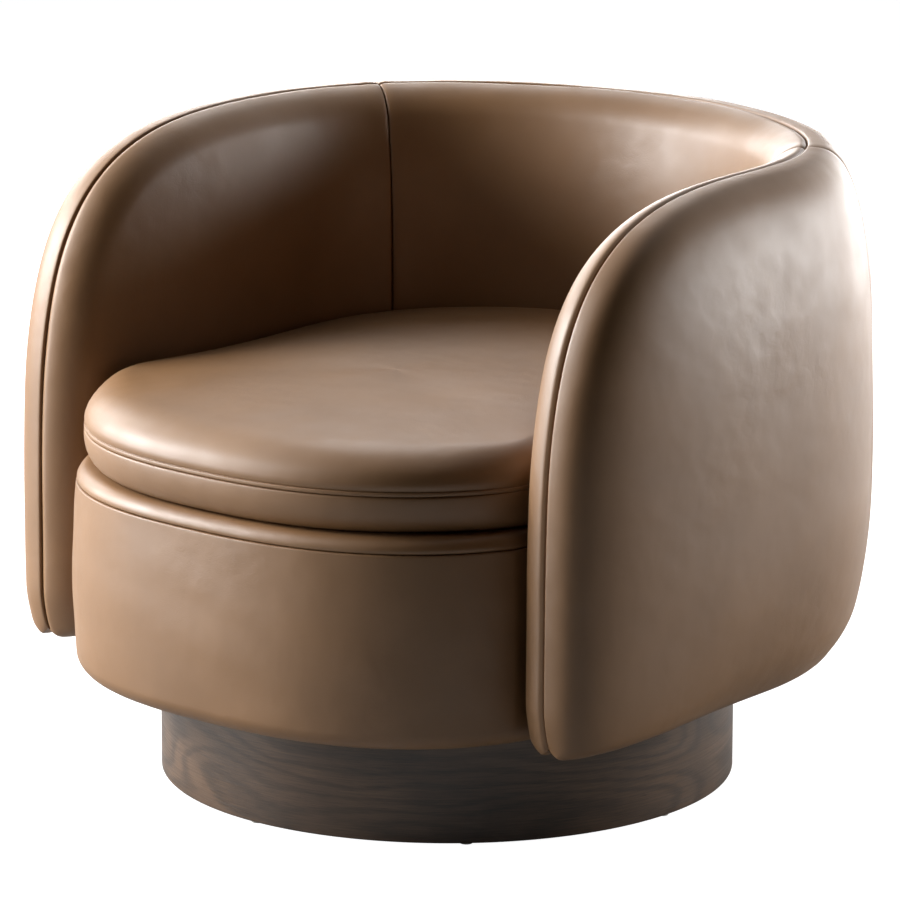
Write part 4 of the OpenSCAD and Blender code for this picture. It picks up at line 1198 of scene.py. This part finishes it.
def plywood_material():
    """Pale birch with a soft figure and fine fibres."""
    g = Graph("birch_plywood", roughness=0.55)
    fibre = g.grain((9.0, 260.0, 260.0), 4.0)
    figure = g.noise(9.0, detail=3.0, distortion=0.8)
    base = g.mix(g.span(figure, 0.3, 0.7), BIRCH_DARK, BIRCH_LIGHT)
    g.colour(g.mix(g.span(fibre, 0.45, 0.7, 0.0, 0.5), base, BIRCH_FIBRE))
    g.bump(fibre, 0.0003, 0.3)
    return g.material


def metal_material(name, tint, rough_low, rough_high):
    """Plain or blackened steel with fine scratches and uneven gloss."""
    g = Graph(name, metallic=1.0)
    scratch = g.grain((900.0, 60.0, 900.0))
    cloud = g.noise(60.0)
    g.colour(g.mix(g.span(cloud, 0.3, 0.7), rgb(*tint), rgb(*(int(c * 0.85) for c in tint))))
    g.rough(g.span(scratch, 0.3, 0.7, rough_low, rough_high))
    g.bump(scratch, 0.00005, 0.3)
    return g.material


def felt_material(name, low, high):
    """Matted fibres: crossed stretched noises over a dull colour."""
    g = Graph(name, roughness=0.95, specular=0.2)
    one = g.grain((700.0, 120.0, 400.0))
    two = g.grain((120.0, 700.0, 400.0))
    both = g.math("ADD", one, two)
    g.colour(g.mix(g.span(both, 0.7, 1.3), rgb(*low), rgb(*high)))
    g.bump(both, 0.0005, 0.6)
    return g.material


def glide_material():
    """Pale nylon with a fine scuffed surface."""
    g = Graph("nylon_glide", roughness=0.5)
    scuff = g.noise(400.0)
    g.colour(g.mix(g.span(scuff, 0.35, 0.65), NYLON_DARK, NYLON_LIGHT))
    g.bump(scuff, 0.0001, 0.4)
    return g.material


def dress_nodes(leather, veneer):
    """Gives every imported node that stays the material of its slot."""
    by_slot = {
        "leather": leather,
        "plinth_veneer": veneer,
        "birch": plywood_material(),
        "zinc_steel": metal_material("zinc_plated_steel", (188, 190, 194), 0.25, 0.42),
        "black_steel": metal_material("blackened_steel", (58, 57, 58), 0.3, 0.5),
        "ball_steel": metal_material("polished_steel", (214, 216, 220), 0.08, 0.16),
        "felt": felt_material("grey_felt", (142, 138, 130), (172, 168, 158)),
        "dust_cloth": felt_material("black_dust_cloth", (20, 20, 21), (38, 38, 40)),
        "glide": glide_material(),
    }
    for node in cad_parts.values():
        for slot in node.material_slots:
            slot.material = by_slot[slot.material.name.split(".")[0]]


# Camera, room and lamps
CAMERA_AZIMUTH = np.radians(41.188)
CAMERA_ELEVATION = np.radians(13.226)
CAMERA_DISTANCE = 5.995
CAMERA_LENS = 224.7
CAMERA_SENSOR = 36.0
CAMERA_ROLL = 0.00206
TARGET_RIGHT = 0.00241
TARGET_UP = 0.345


def make_camera():
    """The photograph's view: a long lens ahead of the chair on its left and a little above it."""
    right = Vector((np.cos(CAMERA_AZIMUTH), np.sin(CAMERA_AZIMUTH), 0))
    back = Vector((np.sin(CAMERA_AZIMUTH) * np.cos(CAMERA_ELEVATION),
                   -np.cos(CAMERA_AZIMUTH) * np.cos(CAMERA_ELEVATION), np.sin(CAMERA_ELEVATION)))
    up = back.cross(right)
    across = right * np.cos(CAMERA_ROLL) + up * np.sin(CAMERA_ROLL)
    above = up * np.cos(CAMERA_ROLL) - right * np.sin(CAMERA_ROLL)
    data = bpy.data.cameras.new("camera")
    data.lens = CAMERA_LENS
    data.sensor_width = CAMERA_SENSOR
    camera = bpy.data.objects.new("camera", data)
    axes = Matrix((across, above, back)).transposed().to_4x4()
    target = right * TARGET_RIGHT + Vector((0, 0, TARGET_UP))
    camera.matrix_world = Matrix.Translation(target + back * CAMERA_DISTANCE) @ axes
    bpy.context.scene.collection.objects.link(camera)
    bpy.context.scene.camera = camera


ROOM_LIGHT = 0.005
ROOM_DARK = 0.0
BACKDROP_EDGE = -0.15
ROOM_EDGE = 0.35
FLOOR_HALF = 60.0
FLOOR_GLOW = 0.985
FLOOR_PALE = 0.3
FLOOR_SHEEN = 0.22
# Radii in metres over which the painted shadow in the floor's glow, as shiny surfaces see it, fades out
# round the chair
PAINTED_SHADOW_IN = 0.42
PAINTED_SHADOW_OUT = 1.1


def seen_rays(g, path, mirrored=1.0):
    """One where a ray comes from the camera or through a clear surface, and the given share where it
    comes from a shiny one, else nothing."""
    direct = g.math("MAXIMUM", path.outputs["Is Camera Ray"], path.outputs["Is Transmission Ray"])
    return g.math("MAXIMUM", direct, g.math("MULTIPLY", path.outputs["Is Glossy Ray"], mirrored))


def make_world():
    """White backdrop for the rays that see it; shiny surfaces see it behind the chair and a dark room
    on the camera's side. The rest of the light is dim and even."""
    world = bpy.data.worlds.new("studio")
    bpy.context.scene.world = world
    world.use_nodes = True
    g = Tree(world.node_tree)
    g.tree.nodes.clear()
    towards = g.new("ShaderNodeVectorMath")
    towards.operation = "DOT_PRODUCT"
    towards.inputs[1].default_value = (np.sin(CAMERA_AZIMUTH), -np.cos(CAMERA_AZIMUTH), 0.0)
    g.link(g.new("ShaderNodeTexCoord").outputs["Generated"], towards.inputs[0])
    wall = g.span(towards.outputs["Value"], BACKDROP_EDGE, ROOM_EDGE, 1.0, ROOM_DARK, "SMOOTHSTEP")
    path = g.new("ShaderNodeLightPath")
    room = g.new("ShaderNodeBackground")
    g.link(ROOM_LIGHT, room.inputs["Strength"])
    backdrop = g.new("ShaderNodeBackground")
    g.link(g.math("MAXIMUM", path.outputs["Is Camera Ray"], wall), backdrop.inputs["Strength"])
    mix = g.new("ShaderNodeMixShader")
    for value, socket in zip((seen_rays(g, path), room.outputs[0], backdrop.outputs[0]), mix.inputs):
        g.link(value, socket)
    g.link(mix.outputs[0], g.new("ShaderNodeOutputWorld").inputs["Surface"])


def make_floor():
    """Pale floor: it takes the object's shadow, and where nothing shades it, it shows as white. Shiny
    surfaces see its glow with a painted shadow, dark beside the chair and paler further out."""
    mesh = bpy.data.meshes.new("floor")
    corners = [(x * FLOOR_HALF, y * FLOOR_HALF, 0.0) for x, y in ((-1, -1), (1, -1), (1, 1), (-1, 1))]
    mesh.from_pydata(corners, [], [(0, 1, 2, 3)])
    floor = bpy.data.objects.new("floor", mesh)
    bpy.context.scene.collection.objects.link(floor)
    material = bpy.data.materials.new("pale_floor")
    material.use_nodes = True
    g = Tree(material.node_tree)
    g.tree.nodes.clear()
    matt = g.new("ShaderNodeBsdfDiffuse")
    g.link((FLOOR_PALE, FLOOR_PALE, FLOOR_PALE, 1.0), matt.inputs["Color"])
    far = g.new("ShaderNodeVectorMath")
    far.operation = "LENGTH"
    g.link(g.new("ShaderNodeTexCoord").outputs["Object"], far.inputs[0])
    # Painted shadow: shiny surfaces see the floor's glow dark near the chair and paler further out, in
    # place of the chair's own shadow
    painted_shadow_sheen = g.span(far.outputs["Value"], PAINTED_SHADOW_IN, PAINTED_SHADOW_OUT, 0.0, FLOOR_SHEEN, "SMOOTHSTEP")
    seen = seen_rays(g, g.new("ShaderNodeLightPath"), painted_shadow_sheen)
    glow = g.new("ShaderNodeEmission")
    g.link(g.math("MULTIPLY", seen, FLOOR_GLOW), glow.inputs["Strength"])
    add = g.new("ShaderNodeAddShader")
    for value, socket in zip((matt.outputs[0], glow.outputs[0]), add.inputs):
        g.link(value, socket)
    g.link(add.outputs[0], g.new("ShaderNodeOutputMaterial").inputs["Surface"])
    mesh.materials.append(material)


LAMP_CENTRE = Vector((0.0, 0.0, 0.38))
LAMP_DISTANCE = 3.0

# Each lamp's name, azimuth, elevation, width, height and power
LAMPS = (
    ("key", -57, 24, 1.3, 1.0, 138),
    ("key_low", -44, 5, 1.3, 1.0, 56),
    ("fill_high", -30, 40, 1.0, 1.0, 10),
    ("top_left", -75, 55, 1.0, 1.0, 6),
    ("side_front", -73, 13, 1.0, 1.0, 34),
    ("side_left", -93, 24, 1.2, 1.0, 25),
    ("side_back", -114, 20, 1.0, 1.0, 32),
    ("back_left", -137, 10, 1.0, 1.0, 45),
    ("back_high", -137, 44, 1.0, 1.0, 17),
    ("rim_back", -167, 6, 1.2, 1.0, 50),
    ("rim_low", 174, 2, 1.2, 0.8, 26),
    ("rim_high", 175, 30, 1.0, 1.0, 4),
    ("rim_right", 142, 9, 1.5, 1.0, 79),
)


def lamp(name, azimuth, elevation, width, height, power):
    """A soft rectangular lamp that faces the chair, from an azimuth measured like the camera's."""
    data = bpy.data.lights.new(name, "AREA")
    data.shape = "RECTANGLE"
    data.size = width
    data.size_y = height
    data.energy = power
    a, e = np.radians(azimuth), np.radians(elevation)
    back = Vector((np.sin(a) * np.cos(e), -np.cos(a) * np.cos(e), np.sin(e)))
    piece = bpy.data.objects.new(name, data)
    piece.location = LAMP_CENTRE + back * LAMP_DISTANCE
    piece.rotation_euler = back.to_track_quat("Z", "Y").to_euler()
    piece.visible_camera = False
    bpy.context.scene.collection.objects.link(piece)


def make_lamps():
    """A broad key on the left of the camera, weaker lamps from it round the chair's side, and low ones
    behind the chair for the bright rims."""
    for row in LAMPS:
        lamp(*row)


make_camera()
make_world()
make_floor()
make_lamps()
LEATHER = leather_material()
VENEER = veneer_material()
dress_nodes(LEATHER, VENEER)
make_back_covers(LEATHER)
make_arm_covers(LEATHER)
make_cushion(LEATHER)
make_deck(LEATHER)
make_apron(LEATHER)
make_hoop(VENEER)

bpy.context.scene.view_settings.view_transform = "Standard"
bpy.context.view_layer.update()
